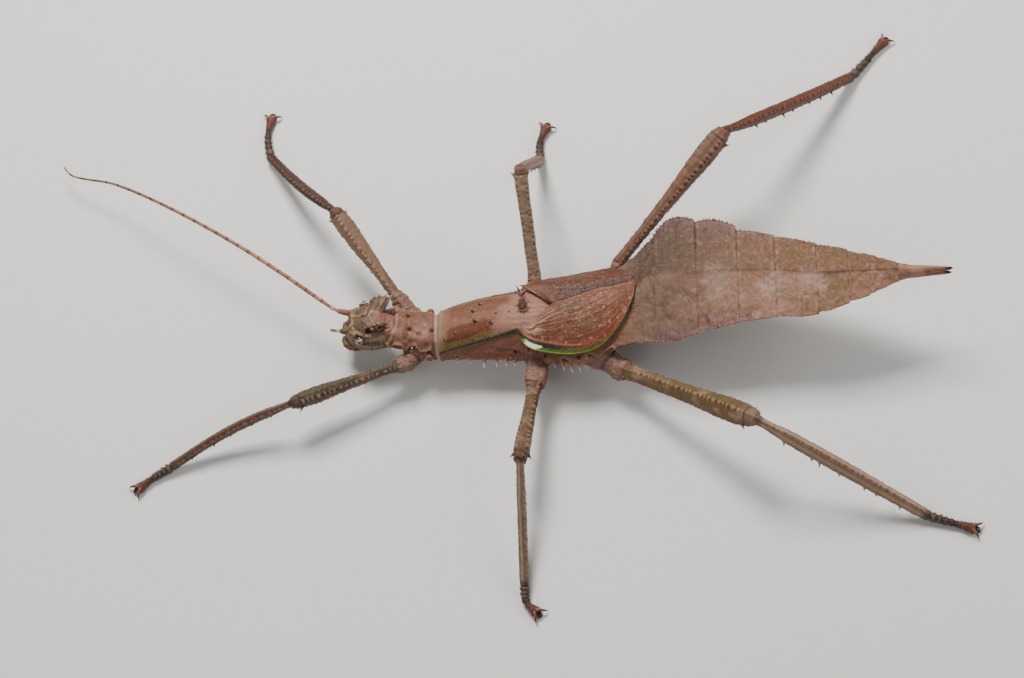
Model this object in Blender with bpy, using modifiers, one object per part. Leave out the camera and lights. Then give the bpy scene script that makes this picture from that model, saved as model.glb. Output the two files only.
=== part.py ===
"""A female Haaniella gintingi, the spiny Sumatran ground stick insect, as a life-size still model.

The animal stands on a flat floor in the sprawled stance of a resting insect. All sizes below are
millimetres: the head points to -X, the tail to +X, the animal's right side to +Y, and the floor is
the plane z = 0. The objects themselves are in metres.
"""
import math
import random
from collections import namedtuple

import bmesh
import bpy
import numpy as np
from mathutils import Matrix, Vector

MM = 0.001
GAP = 0.3                      # clearance between two pieces that touch on the animal
CENTRE = np.array([-2.2, 5.92, 0.0])    # middle of the stance, which becomes the origin
ANIMAL = "haaniella_gintingi"

# The trunk, station by station from the neck to the last ring:
# x, left margin y, right margin y, margin height, rise of the back, drop of the belly,
# thorax share (1 is a box-like thorax, 0 a roof-like abdomen), lean of the back to the right
TRUNK = np.array([
    (-20.4, 0.5, 6.3, 6.6, 2.3, 2.6, 1.0, 0.10),
    (-19.0, 0.0, 6.7, 6.6, 3.0, 2.9, 1.0, 0.10),
    (-16.5, -1.0, 6.2, 6.5, 3.0, 3.0, 1.0, 0.10),
    (-12.4, -2.0, 5.8, 6.4, 3.0, 3.0, 1.0, 0.12),
    (-9.0, -2.1, 6.9, 6.3, 3.5, 3.0, 1.0, 0.16),
    (-5.3, -2.2, 8.0, 6.3, 3.9, 3.1, 1.0, 0.20),
    (0.7, -2.8, 9.4, 6.4, 4.4, 3.3, 1.0, 0.20),
    (6.0, -3.6, 10.6, 6.6, 4.1, 3.5, 1.0, 0.20),
    (12.8, -4.0, 11.2, 7.2, 3.3, 3.8, 0.9, 0.18),
    (17.0, -2.7, 11.4, 8.6, 2.1, 4.2, 0.5, 0.10),
    (20.0, -2.2, 13.0, 9.1, 1.8, 4.2, 0.15, 0.04),
    (22.3, -2.3, 15.2, 9.6, 2.1, 4.2, 0.0, 0.0),
    (26.0, -2.5, 17.4, 10.4, 2.4, 4.3, 0.0, 0.0),
    (30.4, -1.5, 17.3, 11.1, 2.7, 4.3, 0.0, 0.0),
    (37.0, -0.5, 15.4, 12.0, 2.9, 4.1, 0.0, 0.0),
    (43.0, 0.0, 13.7, 12.5, 2.8, 3.8, 0.0, 0.0),
    (49.6, 0.0, 11.8, 13.0, 2.5, 3.3, 0.0, 0.0),
    (54.5, 1.2, 10.1, 13.7, 2.2, 2.8, 0.0, 0.0),
    (58.5, 2.2, 8.8, 14.3, 1.8, 2.2, 0.0, 0.0),
    (62.6, 3.5, 7.3, 14.8, 1.3, 1.5, 0.0, 0.0),
    (64.0, 3.9, 7.0, 14.9, 1.1, 1.2, 0.0, 0.0),
])

# Half sections from the keel out to the margin and back under to the belly: (across, up) shares
THORAX_BACK = ((0.0, 1.0), (0.33, 0.95), (0.60, 0.86), (0.70, 0.62), (0.86, 0.33), (1.0, 0.0))
ABDOMEN_BACK = ((0.0, 1.0), (0.33, 0.68), (0.62, 0.40), (0.80, 0.24), (0.92, 0.13), (1.0, 0.05))
THORAX_BELLY = ((0.97, -0.25), (0.80, -0.66), (0.45, -0.94), (0.0, -1.0))
ABDOMEN_BELLY = ((0.97, -0.06), (0.80, -0.20), (0.50, -0.74), (0.0, -1.0))

# Trunk pieces: name, front x, rear x, rings
PRONOTUM = ("pronotum", -20.3, -12.7, 8)
MESOTHORAX = ("mesothorax", -12.4, 3.2, 9)
METATHORAX = ("metathorax", 3.5, 19.7, 9)
RING_ENDS = (20.0, 23.4, 30.4, 37.0, 43.0, 49.6, 54.5, 57.9, 63.0)    # abdomen rings 2 to 9
LOBE_RIGHT = {3: 1.7, 4: 1.6, 5: 0.5, 6: 0.4, 7: 0.3}
LOBE_LEFT = {2: 0.2, 3: 0.5, 4: 0.5, 5: 0.5, 6: 0.6, 7: 0.4, 8: 0.2}
MARGIN_TEETH = {2: 2, 3: 4, 4: 4, 5: 3, 6: 2, 7: 1}

# The beak-like ovipositor: upper and lower valve tips
BEAK_ROOT = (63.3, 5.5, 14.7)
UPPER_VALVE_TIP = (71.0, 5.3, 15.6)
LOWER_VALVE_TIP = (70.7, 4.9, 14.4)

# Head, from the neck to the lips: x, middle y, half width, top z, bottom z
HEAD = np.array([
    (-20.7, 3.6, 2.7, 9.2, 4.4),
    (-21.6, 3.8, 3.5, 10.2, 3.7),
    (-23.0, 4.0, 3.8, 10.6, 3.2),
    (-24.6, 4.1, 3.5, 10.2, 2.9),
    (-25.8, 4.1, 3.05, 9.4, 2.8),
    (-26.7, 4.1, 2.5, 8.5, 2.8),
    (-27.4, 4.1, 1.9, 7.3, 3.0),
    (-27.8, 4.1, 1.2, 6.2, 3.6),
])
EYE_RADIUS = 0.85
EYES = {"left": (-25.1, 1.15, 7.9), "right": (-24.5, 7.2, 8.1)}
HEAD_MIDDLE = 4.1
BROW = (-26.0, 1.5, 7.8)       # knob at an antenna's root: x, distance from the middle, z
BROW_RADIUS = 0.8
# Spines of each crest on the back of the head: x, distance from the middle, length, radius
CREST_SPINES = ((-22.9, 2.5, 1.2, 0.42), (-22.2, 2.5, 1.6, 0.45), (-21.5, 2.4, 1.9, 0.5),
                (-21.0, 2.1, 2.6, 0.5), (-21.0, 1.1, 1.5, 0.42))

# Antennae: routes of the centre line, and the radii at the root, past the scape, and at the tip
ANTENNA_RIGHT = ((-25.6, 6.0, 7.7), (-27.6, 6.1, 8.4), (-31.5, 8.1, 9.1), (-37.4, 12.6, 9.6),
                 (-46.7, 19.3, 10.0), (-58.6, 27.2, 9.0), (-68.6, 33.3, 6.5), (-74.6, 35.6, 4.8),
                 (-77.0, 36.8, 4.1), (-78.6, 38.8, 3.5))
ANTENNA_LEFT = ((-25.6, 2.6, 7.7), (-27.3, 2.7, 8.0), (-29.9, 3.1, 8.2))
ANTENNA_CUTS = (0.0, 0.055, 0.37, 0.69, 1.0)

# Forewings: inner and outer margin from the hinge to the apex, as x and y
TEGMEN_LEFT_INNER = ((6.2, 4.0), (10.2, 5.6), (14.1, 6.9), (17.5, 7.4), (20.2, 8.6))
TEGMEN_LEFT_OUTER = ((0.9, 0.4), (2.6, -2.2), (5.6, -3.3), (10.4, -3.7), (14.4, -2.7), (17.6, 0.2),
                     (19.9, 4.6), (20.4, 7.8))
TEGMEN_RIGHT_INNER = ((6.2, 4.9), (9.0, 3.0), (13.0, 2.6), (17.0, 4.4), (19.7, 8.0))
TEGMEN_RIGHT_OUTER = ((1.6, 8.1), (4.9, 9.8), (10.0, 10.8), (15.2, 11.0), (18.6, 10.2), (20.2, 8.8))
TEGMEN_THICKNESS = 0.5
VEIN_HEIGHT = 0.2

# Legs. Femur and tibia lengths for each pair; then for each leg the root of its coxa inside the
# trunk, its hip, the compass and climb of its femur and tibia in degrees, the compass, length and
# sideways bend of its tarsus, the roll of femur and tibia about their length, and the tibia's bow
FEMUR_LENGTH = {"fore": 20.3, "mid": 18.1, "hind": 27.5}
TIBIA_LENGTH = {"fore": 23.1, "mid": 19.9, "hind": 31.9}
Leg = namedtuple("Leg", "root hip femur tibia tarsus roll bow")
LEGS = {
    "left_fore": Leg((-15.8, 0.8, 5.2), (-17.16, -1.9, 5.1), (-158.8, 6.0), (-159.7, -15.1),
                     (-147.9, 6.6, 0.2), 0, 0.9),
    "right_fore": Leg((-16.2, 4.6, 5.6), (-17.95, 7.45, 6.0), (125.2, 14.0), (129.5, -24.8),
                      (91.4, 8.0, -0.6), 60, -0.5),
    "left_mid": Leg((3.4, 0.6, 5.2), (3.9, -3.99, 5.0), (-98.4, 12.8), (-90.5, -23.0),
                    (-68.0, 4.8, 0.8), 0, 0.0),
    "right_mid": Leg((3.8, 7.6, 5.6), (3.5, 12.4, 6.0), (94.5, 42.0), (80.3, -58.0),
                     (81.6, 6.8, -0.6), 0, 0.0),
    "left_hind": Leg((11.8, -0.4, 5.9), (16.96, -4.7, 5.0), (-32.3, 20.0), (-25.1, -24.5),
                     (-18.0, 7.4, 0.0), 35, 0.0),
    "right_hind": Leg((15.4, 9.4, 5.6), (17.5, 13.8, 6.0), (44.2, 22.3), (38.8, -28.5),
                      (49.2, 9.2, 0.0), 0, 0.3),
}
# Radii of a coxa's root and end; a leg whose hip hides under the margin has its own row here
COXA_RADIUS = {"fore": (1.9, 1.5), "mid": (2.2, 1.8), "hind": (2.5, 1.8),
               "right_mid": (1.7, 1.1), "right_hind": (1.5, 1.0)}
TARSUS_END_HEIGHT = 0.75
# Outlines of the leg parts: share of the length, half width, half height
FEMUR_SHAPE = {
    "fore": ((0, 1.3, 1.3), (0.08, 1.3, 1.3), (0.16, 0.72, 0.95), (0.35, 0.7, 1.0),
             (0.6, 0.95, 1.35), (0.8, 1.2, 1.5), (0.95, 1.1, 1.3), (1, 0.9, 1.0)),
    "mid": ((0, 1.75, 1.6), (0.14, 1.8, 1.6), (0.24, 1.15, 1.2), (0.45, 1.05, 1.25),
            (0.7, 1.2, 1.35), (0.9, 1.3, 1.4), (1, 1.05, 1.1)),
    "hind": ((0, 1.75, 1.65), (0.05, 1.75, 1.65), (0.1, 1.05, 1.2), (0.3, 1.0, 1.25),
             (0.55, 1.15, 1.4), (0.8, 1.6, 1.75), (0.95, 1.55, 1.6), (1, 1.15, 1.2)),
    "right_mid": ((0, 1.05, 1.2), (0.14, 1.0, 1.2), (0.24, 1.0, 1.15), (0.45, 1.0, 1.2),
                  (0.7, 1.05, 1.3), (0.9, 1.1, 1.35), (1, 1.0, 1.1)),
    "right_hind": ((0, 0.95, 1.1), (0.05, 0.9, 1.1), (0.1, 0.85, 1.1), (0.3, 0.9, 1.2),
                   (0.55, 1.15, 1.4), (0.8, 1.6, 1.75), (0.95, 1.55, 1.6), (1, 1.15, 1.2)),
}
TIBIA_SHAPE = {
    "fore": ((0, 0.6, 0.7), (0.07, 0.5, 0.65), (0.2, 0.6, 0.95), (0.5, 0.62, 1.0), (0.9, 0.6, 0.85),
             (1, 0.65, 0.75)),
    "mid": ((0, 0.75, 0.75), (0.07, 0.65, 0.7), (0.22, 0.75, 0.9), (0.6, 0.75, 0.95),
            (0.93, 0.8, 0.95), (1, 0.75, 0.8)),
    "hind": ((0, 0.75, 0.8), (0.06, 0.6, 0.7), (0.2, 0.75, 1.1), (0.5, 0.8, 1.2),
             (0.93, 0.75, 0.95), (1, 0.75, 0.8)),
}
TARSUS_SHAPE = ((0, 0.5, 0.5), (0.14, 0.78, 0.6), (0.17, 0.5, 0.45), (0.27, 0.7, 0.55),
                (0.3, 0.48, 0.42), (0.4, 0.66, 0.52), (0.43, 0.46, 0.42), (0.52, 0.62, 0.5),
                (0.56, 0.44, 0.45), (0.8, 0.6, 0.6), (1.0, 0.95, 0.62))
CLAW_LENGTH = 2.2
CLAW_SPREAD = {"right_fore": 72, "right_mid": 74}     # degrees off the toe; the others' is next
CLAW_SPREAD_USUAL = 52
FEMUR_SLEEVE = {"fore": 0.09, "mid": 0.17, "hind": 0.07}    # share of the length of the rough base

random.seed(1864)


def smooth(table, at):
    """Catmull-Rom values of a table, whose first column is the parameter, at the given places."""
    table = np.asarray(table, float)
    at = np.clip(np.atleast_1d(np.asarray(at, float)), table[0, 0], table[-1, 0])
    i = np.clip(np.searchsorted(table[:, 0], at, side="right") - 1, 0, len(table) - 2)
    before = np.clip(i - 1, 0, None)
    after = np.clip(i + 2, None, len(table) - 1)
    x0, x1, x2, x3 = (table[k, 0] for k in (before, i, i + 1, after))
    v0, v1, v2, v3 = (table[k, 1:] for k in (before, i, i + 1, after))
    span = (x2 - x1)[:, None]
    t = ((at - x1) / (x2 - x1))[:, None]
    slope1 = (v2 - v0) / np.maximum(x2 - x0, 1e-9)[:, None] * span
    slope2 = (v3 - v1) / np.maximum(x3 - x1, 1e-9)[:, None] * span
    return ((2 * t**3 - 3 * t**2 + 1) * v1 + (t**3 - 2 * t**2 + t) * slope1
            + (3 * t**2 - 2 * t**3) * v2 + (t**3 - t**2) * slope2)


def along_route(points, shares):
    """Points of a smooth curve through a route at shares of its length."""
    points = np.asarray(points, float)
    steps = np.linalg.norm(np.diff(points, axis=0), axis=1)
    length = np.concatenate(([0.0], np.cumsum(steps))) / steps.sum()
    return smooth(np.column_stack((length, points)), shares)


def unit(vector):
    vector = np.asarray(vector, float)
    return vector / np.linalg.norm(vector)


def heading(compass, climb):
    """Unit vector of a compass angle from +X and a climb angle, both in degrees."""
    compass, climb = math.radians(compass), math.radians(climb)
    return np.array([math.cos(compass) * math.cos(climb), math.sin(compass) * math.cos(climb),
                     math.sin(climb)])


def side_and_up(direction):
    """Two unit vectors square to a direction: level sideways, and upwards."""
    side = unit(np.cross(direction, (0, 0, 1)))
    return side, np.cross(side, direction)


def new_object(name, vertices, faces, collection):
    """A mesh object from points in millimetres, placed in metres about the stance's middle."""
    mesh = bpy.data.meshes.new(name)
    points = (np.asarray(vertices, float) - CENTRE) * MM
    mesh.from_pydata(points.tolist(), [], faces)
    obj = bpy.data.objects.new(name, mesh)
    collection.objects.link(obj)
    return obj


def loft(name, rings, collection, dome=0.0):
    """A closed body through rings of equal count, each end closed by a fan, domed outwards."""
    rings = np.asarray(rings, float)
    count, sides = rings.shape[:2]
    first, last = rings[0].mean(axis=0), rings[-1].mean(axis=0)
    first = first + unit(first - rings[1].mean(axis=0)) * dome
    last = last + unit(last - rings[-2].mean(axis=0)) * dome
    vertices = np.vstack((rings.reshape(-1, 3), first, last))
    faces = []
    for i in range(count - 1):
        for j in range(sides):
            k = (j + 1) % sides
            faces.append((i * sides + j, i * sides + k, (i + 1) * sides + k, (i + 1) * sides + j))
    start, end = count * sides, count * sides + 1
    for j in range(sides):
        k = (j + 1) % sides
        faces.append((start, k, j))
        faces.append((end, (count - 1) * sides + j, (count - 1) * sides + k))
    obj = new_object(name, vertices, faces, collection)
    face_outwards(obj)
    return obj


def face_outwards(obj):
    """Turns a closed mesh's faces outwards and splits them into triangles."""
    bm = bmesh.new()
    bm.from_mesh(obj.data)
    bmesh.ops.recalc_face_normals(bm, faces=bm.faces)
    bmesh.ops.triangulate(bm, faces=bm.faces)
    bm.to_mesh(obj.data)
    bm.free()


def tube(name, centres, radii, collection, sides=6, dome=0.0, flat=1.0):
    """A round or flattened tapering loft along a line of points."""
    centres = np.asarray(centres, float)
    tangents = np.gradient(centres, axis=0)
    angles = np.linspace(0, 2 * math.pi, sides, endpoint=False) + math.pi / sides
    rings = []
    for centre, tangent, radius in zip(centres, tangents, radii):
        side, up = side_and_up(unit(tangent))
        rings.append(centre + radius * (np.cos(angles)[:, None] * side
                                        + flat * np.sin(angles)[:, None] * up))
    return loft(name, rings, collection, dome)


def ball(name, centre, radii, collection, turn=0.0, segments=10, rings=6):
    """An ellipsoid from a UV sphere, turned about the vertical by an angle in degrees."""
    mesh = bpy.data.meshes.new(name)
    bm = bmesh.new()
    bmesh.ops.create_uvsphere(bm, u_segments=segments, v_segments=rings, radius=1.0)
    place = Matrix.Translation(Vector((np.asarray(centre, float) - CENTRE) * MM))
    size = Matrix.Diagonal((radii[0] * MM, radii[1] * MM, radii[2] * MM, 1.0))
    bm.transform(place @ Matrix.Rotation(math.radians(turn), 4, "Z") @ size)
    bmesh.ops.triangulate(bm, faces=bm.faces)
    bm.to_mesh(mesh)
    bm.free()
    obj = bpy.data.objects.new(name, mesh)
    collection.objects.link(obj)
    return obj


def spine(root, direction, length, radius, collection, sides=5, sunk=0.5):
    """A pointed spine: a cone standing on a surface point with its root sunk below it."""
    mesh = bpy.data.meshes.new("spine")
    bm = bmesh.new()
    depth = (length + sunk) * MM
    bmesh.ops.create_cone(bm, cap_ends=True, segments=sides, radius1=radius * MM, radius2=0.0,
                          depth=depth)
    direction = Vector(unit(direction))
    turn = direction.to_track_quat("Z", "Y").to_matrix().to_4x4()
    foot = Vector((np.asarray(root, float) - CENTRE) * MM) - direction * sunk * MM
    bm.transform(Matrix.Translation(foot + direction * depth / 2) @ turn)
    bmesh.ops.triangulate(bm, faces=bm.faces)
    bm.to_mesh(mesh)
    bm.free()
    obj = bpy.data.objects.new("spine", mesh)
    collection.objects.link(obj)
    return obj


def apply_modifiers(obj):
    """Replaces an object's mesh by its evaluated one and clears the modifiers."""
    graph = bpy.context.evaluated_depsgraph_get()
    mesh = bpy.data.meshes.new_from_object(obj.evaluated_get(graph))
    obj.modifiers.clear()
    old = obj.data
    obj.data = mesh
    bpy.data.meshes.remove(old)


def keep_largest(obj):
    """Keeps the closed surface of the largest volume and drops the rest."""
    bm = bmesh.new()
    bm.from_mesh(obj.data)
    bmesh.ops.remove_doubles(bm, verts=bm.verts, dist=0.000002)
    bmesh.ops.dissolve_degenerate(bm, edges=bm.edges, dist=0.000002)
    bmesh.ops.triangulate(bm, faces=bm.faces)
    bm.faces.ensure_lookup_table()
    left = set(bm.faces)
    islands = []
    while left:
        front = [left.pop()]
        island = list(front)
        while front:
            face = front.pop()
            for edge in face.edges:
                for other in edge.link_faces:
                    if other in left:
                        left.remove(other)
                        front.append(other)
                        island.append(other)
        islands.append(island)

    def volume(faces):
        total = 0.0
        for face in faces:
            a, b, c = (v.co for v in face.verts)
            total += a.dot(b.cross(c))
        return total / 6

    largest = max(islands, key=volume)
    drop = [face for island in islands if island is not largest for face in island]
    if drop:
        bmesh.ops.delete(bm, geom=drop, context="FACES")
        loose = [v for v in bm.verts if not v.link_faces]
        bmesh.ops.delete(bm, geom=loose, context="VERTS")
    bm.to_mesh(obj.data)
    bm.free()


def combine(obj, pieces, operation="UNION", solver="EXACT"):
    """Joins pieces to an object, or cuts them out of it, as one Boolean on a collection."""
    if not pieces:
        return obj
    tools = bpy.data.collections.new("tools")
    bpy.context.scene.collection.children.link(tools)
    for piece in pieces:
        for owner in list(piece.users_collection):
            owner.objects.unlink(piece)
        tools.objects.link(piece)
        piece.hide_render = True
        piece.display_type = "WIRE"
    modifier = obj.modifiers.new("combine", "BOOLEAN")
    modifier.operation = operation
    modifier.operand_type = "COLLECTION"
    modifier.collection = tools
    modifier.solver = solver
    apply_modifiers(obj)
    for piece in pieces:
        mesh = piece.data
        bpy.data.objects.remove(piece, do_unlink=True)
        bpy.data.meshes.remove(mesh)
    bpy.data.collections.remove(tools)
    keep_largest(obj)
    return obj


def finish(obj, colour, roughness, smooth_angle=40.0):
    """Gives an object its own material and its smooth shading."""
    material = bpy.data.materials.new(obj.name)
    material.use_nodes = True
    shader = material.node_tree.nodes["Principled BSDF"]
    shader.inputs["Base Color"].default_value = (*colour, 1.0)
    shader.inputs["Roughness"].default_value = roughness
    shader.inputs["Metallic"].default_value = 0.0
    obj.data.materials.clear()
    obj.data.materials.append(material)
    obj.data.shade_smooth()
    obj.data.set_sharp_from_angle(angle=math.radians(smooth_angle))


SKIN = (0.24, 0.13, 0.09)
HEAD_SKIN = (0.20, 0.15, 0.10)
WING_SKIN = (0.27, 0.10, 0.06)
LEG_SKIN = (0.20, 0.10, 0.07)
EYE_COLOUR = (0.55, 0.35, 0.20)


def back_profile(share):
    """The half section's back for a thorax share, as arrays of across and up."""
    return np.array(THORAX_BACK) * share + np.array(ABDOMEN_BACK) * (1 - share)


def lobe(x, side):
    """How far a margin lobe stands out at x on one side (-1 left, 1 right)."""
    table = LOBE_RIGHT if side > 0 else LOBE_LEFT
    for number, (front, rear) in enumerate(zip(RING_ENDS, RING_ENDS[1:]), start=2):
        if front <= x <= rear:
            share = (x - front) / (rear - front)
            return table.get(number, 0.0) * math.sin(math.pi * (0.12 + 0.72 * share))
    return 0.0


def trunk_ring(x, grow=0.0):
    """The trunk's section at x, 18 points, grown outwards by an allowance."""
    left, right, height, rise, drop, share, lean = smooth(TRUNK, x)[0]
    back = back_profile(share)
    belly = np.array(THORAX_BELLY) * share + np.array(ABDOMEN_BELLY) * (1 - share)
    half = np.vstack((back, belly))
    middle, width = (left + right) / 2, (right - left) / 2 + grow
    points = []
    for side in (1, -1):
        reach = width + lobe(x, side)
        rows = half if side > 0 else half[-2:0:-1]
        for across, up in rows:
            lift = up * ((rise if up > 0 else drop) + grow)
            if abs(across) == 1.0:
                lift += grow * 0.5
            points.append((x, middle + side * across * reach + lean * lift, height + lift))
    return np.array(points)


def back_height(x, y):
    """Height of the trunk's back over a place on the plan."""
    left, right, height, rise, _, share, lean = smooth(TRUNK, x)[0]
    back = back_profile(share)
    middle, width = (left + right) / 2, (right - left) / 2
    lift = 0.0
    for _ in range(4):
        across = abs(y - lean * lift - middle) / (width + lobe(x, 1 if y > middle else -1))
        lift = rise * np.interp(across, back[:, 0], back[:, 1])
    return height + lift


def trunk_loft(name, front, rear, rings, collection, grow=0.0):
    places = np.linspace(front, rear, rings)
    return loft(name, [trunk_ring(x, grow) for x in places], collection)


def flank_point(x, side, across=0.97):
    """A point on the trunk's lower flank, and the direction away from the trunk there."""
    ring = trunk_ring(x)
    index = 6 if side > 0 else 12
    return ring[index] * across + ring[9] * (1 - across), np.array([0.0, side, -0.35])


def build_pronotum(parts):
    """The collar-like first ring, with small knobs along its flanks."""
    name, front, rear, rings = PRONOTUM
    obj = trunk_loft(name, front, rear, rings, parts)
    pieces = []
    for side in (-1, 1):
        root, out = flank_point(-13.6, side)
        pieces.append(spine(root, out + (0, 0, 0.5), 0.9, 0.45, parts))
        for x in (-18.9, -15.4):
            root = (x, 2.8 + side * 1.9, back_height(x, 2.8 + side * 1.9))
            pieces.append(spine(root, (0, side * 0.4, 1), 0.5, 0.45, parts, sunk=0.4))
    return combine(obj, pieces)


def build_mesothorax(parts):
    """The middle ring, with two compound spines on its back and spine rows on its flanks."""
    name, front, rear, rings = MESOTHORAX
    obj = trunk_loft(name, front, rear, rings, parts)
    pieces = []
    for x in (-9.3, -7.2, -4.9, -2.8, -1.2, 0.2):
        for side in (-1, 1):
            root, out = flank_point(x, side)
            pieces.append(spine(root, out, random.uniform(0.8, 1.1), 0.35, parts))
    for y, lean in ((2.9, -0.25), (6.5, 0.3)):
        root = np.array([1.7, y, back_height(1.7, y)])
        pieces.append(spine(root, (0.1, lean, 1), 2.3, 0.85, parts, sides=6, sunk=0.8))
        for angle in (20, 140, 260):
            out = np.array([math.cos(math.radians(angle)), math.sin(math.radians(angle)), 1.2])
            pieces.append(spine(root + out * (0.2, 0.2, 0.0), out, 1.5, 0.42, parts, sunk=0.6))
    for x, y in ((-10.8, 0.4), (-5.3, 6.1), (-6.4, 4.9), (-6.2, 3.6), (-3.6, 3.1)):
        root = (x, y, back_height(x, y))
        pieces.append(spine(root, (0.1, 0, 1), 0.5, 0.4, parts, sunk=0.4))
    return combine(obj, pieces)


def build_metathorax(parts):
    """The rear ring under the forewings, with spine rows on its flanks."""
    name, front, rear, rings = METATHORAX
    obj = trunk_loft(name, front, rear, rings, parts)
    pieces = []
    for x in (6.6, 8.0, 9.2, 10.5, 11.6):
        for side in (-1, 1):
            root, out = flank_point(x, side)
            pieces.append(spine(root, out + (0.35, 0, 0), random.uniform(1.0, 1.4), 0.4, parts))
    return combine(obj, pieces)


def build_abdomen(parts):
    """Abdomen rings 2 to 9: a keeled roof with thin, scalloped and toothed margins."""
    made = []
    for number, (front, rear) in enumerate(zip(RING_ENDS, RING_ENDS[1:]), start=2):
        rings = 4 if number < 8 else 3
        obj = trunk_loft(f"abdomen_{number}", front, rear - GAP, rings, parts)
        pieces = []
        for side in (-1, 1):
            for step in range(MARGIN_TEETH.get(number, 0)):
                share = (step + 0.5 + random.uniform(-0.2, 0.2)) / MARGIN_TEETH[number]
                x = front + (rear - GAP - front) * (0.1 + 0.85 * share)
                ring = trunk_ring(x)
                root = ring[5] if side > 0 else ring[13]
                pieces.append(spine(root + (0, 0, -0.1), (0.45, side, 0.0), 0.6, 0.26, parts,
                                    sides=4))
        made.append(combine(obj, pieces))
    return made


def build_ovipositor(parts):
    """The beak: a stout upper valve over a shorter lower one, parted at their tips."""
    shares = np.array([0.0, 0.15, 0.4, 0.7, 0.92, 1.0])
    upper = np.outer(1 - shares, BEAK_ROOT) + np.outer(shares, UPPER_VALVE_TIP)
    obj = tube("ovipositor", upper, (1.35, 1.2, 0.8, 0.5, 0.3, 0.1), parts, sides=8)
    root = np.array(BEAK_ROOT) + (0.3, 0.0, -0.25)
    lower = np.outer(1 - shares, root) + np.outer(shares, LOWER_VALVE_TIP)
    lower[:, 2] -= 0.35 * np.sin(math.pi * shares)
    valve = tube("valve", lower, (1.1, 1.0, 0.65, 0.42, 0.27, 0.1), parts, sides=8)
    return combine(obj, [valve])


def head_ring(station, grow=0.0, sides=14):
    """A rounded section of the head, wider than an ellipse."""
    x, middle, width, top, bottom = station
    angles = np.linspace(0, 2 * math.pi, sides, endpoint=False)
    across = np.sign(np.cos(angles)) * np.abs(np.cos(angles)) ** 0.85
    up = np.sign(np.sin(angles)) * np.abs(np.sin(angles)) ** 0.85
    height, centre = (top - bottom) / 2, (top + bottom) / 2
    return np.column_stack((np.full(sides, x), middle + across * (width + grow),
                            centre + up * (height + grow)))


def head_loft(name, collection, grow=0.0):
    rings = [head_ring(station, grow) for station in HEAD]
    rings[0] = rings[0] + (grow, 0, 0)
    rings[-1] = rings[-1] - (grow, 0, 0)
    return loft(name, rings, collection, dome=0.3)


def build_head(parts):
    """Head capsule with lips, jaws and palps, a mouth line, eye sockets and spiny crests."""
    obj = head_loft("head", parts)
    pieces = [ball("labrum", (-28.0, HEAD_MIDDLE - 0.1, 3.8), (0.9, 1.3, 0.75), parts)]
    for side in (-1, 1):
        pieces.append(ball("mandible", (-27.3, HEAD_MIDDLE + side * 1.6, 3.6), (1.3, 0.85, 0.8),
                           parts, turn=side * -25))
        pieces.append(ball("maxilla", (-25.9, HEAD_MIDDLE + side * 2.5, 3.5), (1.6, 0.75, 0.7),
                           parts, turn=side * -10))
        pieces.append(ball("brow", (BROW[0], HEAD_MIDDLE + side * BROW[1], BROW[2]),
                           (BROW_RADIUS,) * 3, parts, segments=8))
        bends = [(-26.4, 1.3, 3.3), (-27.1, 2.0, 2.6), (-28.0, 2.0, 2.0), (-28.7, 1.5, 1.8)]
        bends = np.array([(x, HEAD_MIDDLE + side * out, z) for x, out, z in bends])
        pieces.append(tube("palp", bends, (0.42, 0.38, 0.34, 0.22), parts, sides=6, dome=0.1))
        for x, out, length, radius in CREST_SPINES:
            root = (x, HEAD_MIDDLE + side * out, 10.1 - 0.4 * (out - 1.5))
            lean = (0.35 + 0.25 * (x + 22), side * 0.5, 1.0)
            pieces.append(spine(root, lean, length, radius, parts, sunk=0.8))
        pieces.append(spine((-23.9, HEAD_MIDDLE + side * 2.4, 9.6), (-0.1, side * 0.6, 1), 0.8,
                            0.35, parts))
    combine(obj, pieces)
    cuts = [ball("socket", EYES[side], (EYE_RADIUS + GAP,) * 3, parts, segments=14, rings=8)
            for side in EYES]
    for side in (-1, 1):
        line = [(-29.2, 2.1, 4.55), (-27.6, 2.1, 4.5), (-26.0, 2.3, 4.3), (-24.8, 3.1, 4.2)]
        line = np.array([(x, HEAD_MIDDLE + side * out, z) for x, out, z in line])
        cuts.append(tube("mouth_line", line, (0.16, 0.18, 0.18, 0.12), parts, sides=4))
    return combine(obj, cuts, "DIFFERENCE")


def build_eyes(parts):
    made = []
    for side, centre in EYES.items():
        radii = (EYE_RADIUS, EYE_RADIUS * 0.95, EYE_RADIUS)
        made.append(ball(f"eye_{side}", centre, radii, parts, segments=12, rings=8))
    return made


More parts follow.
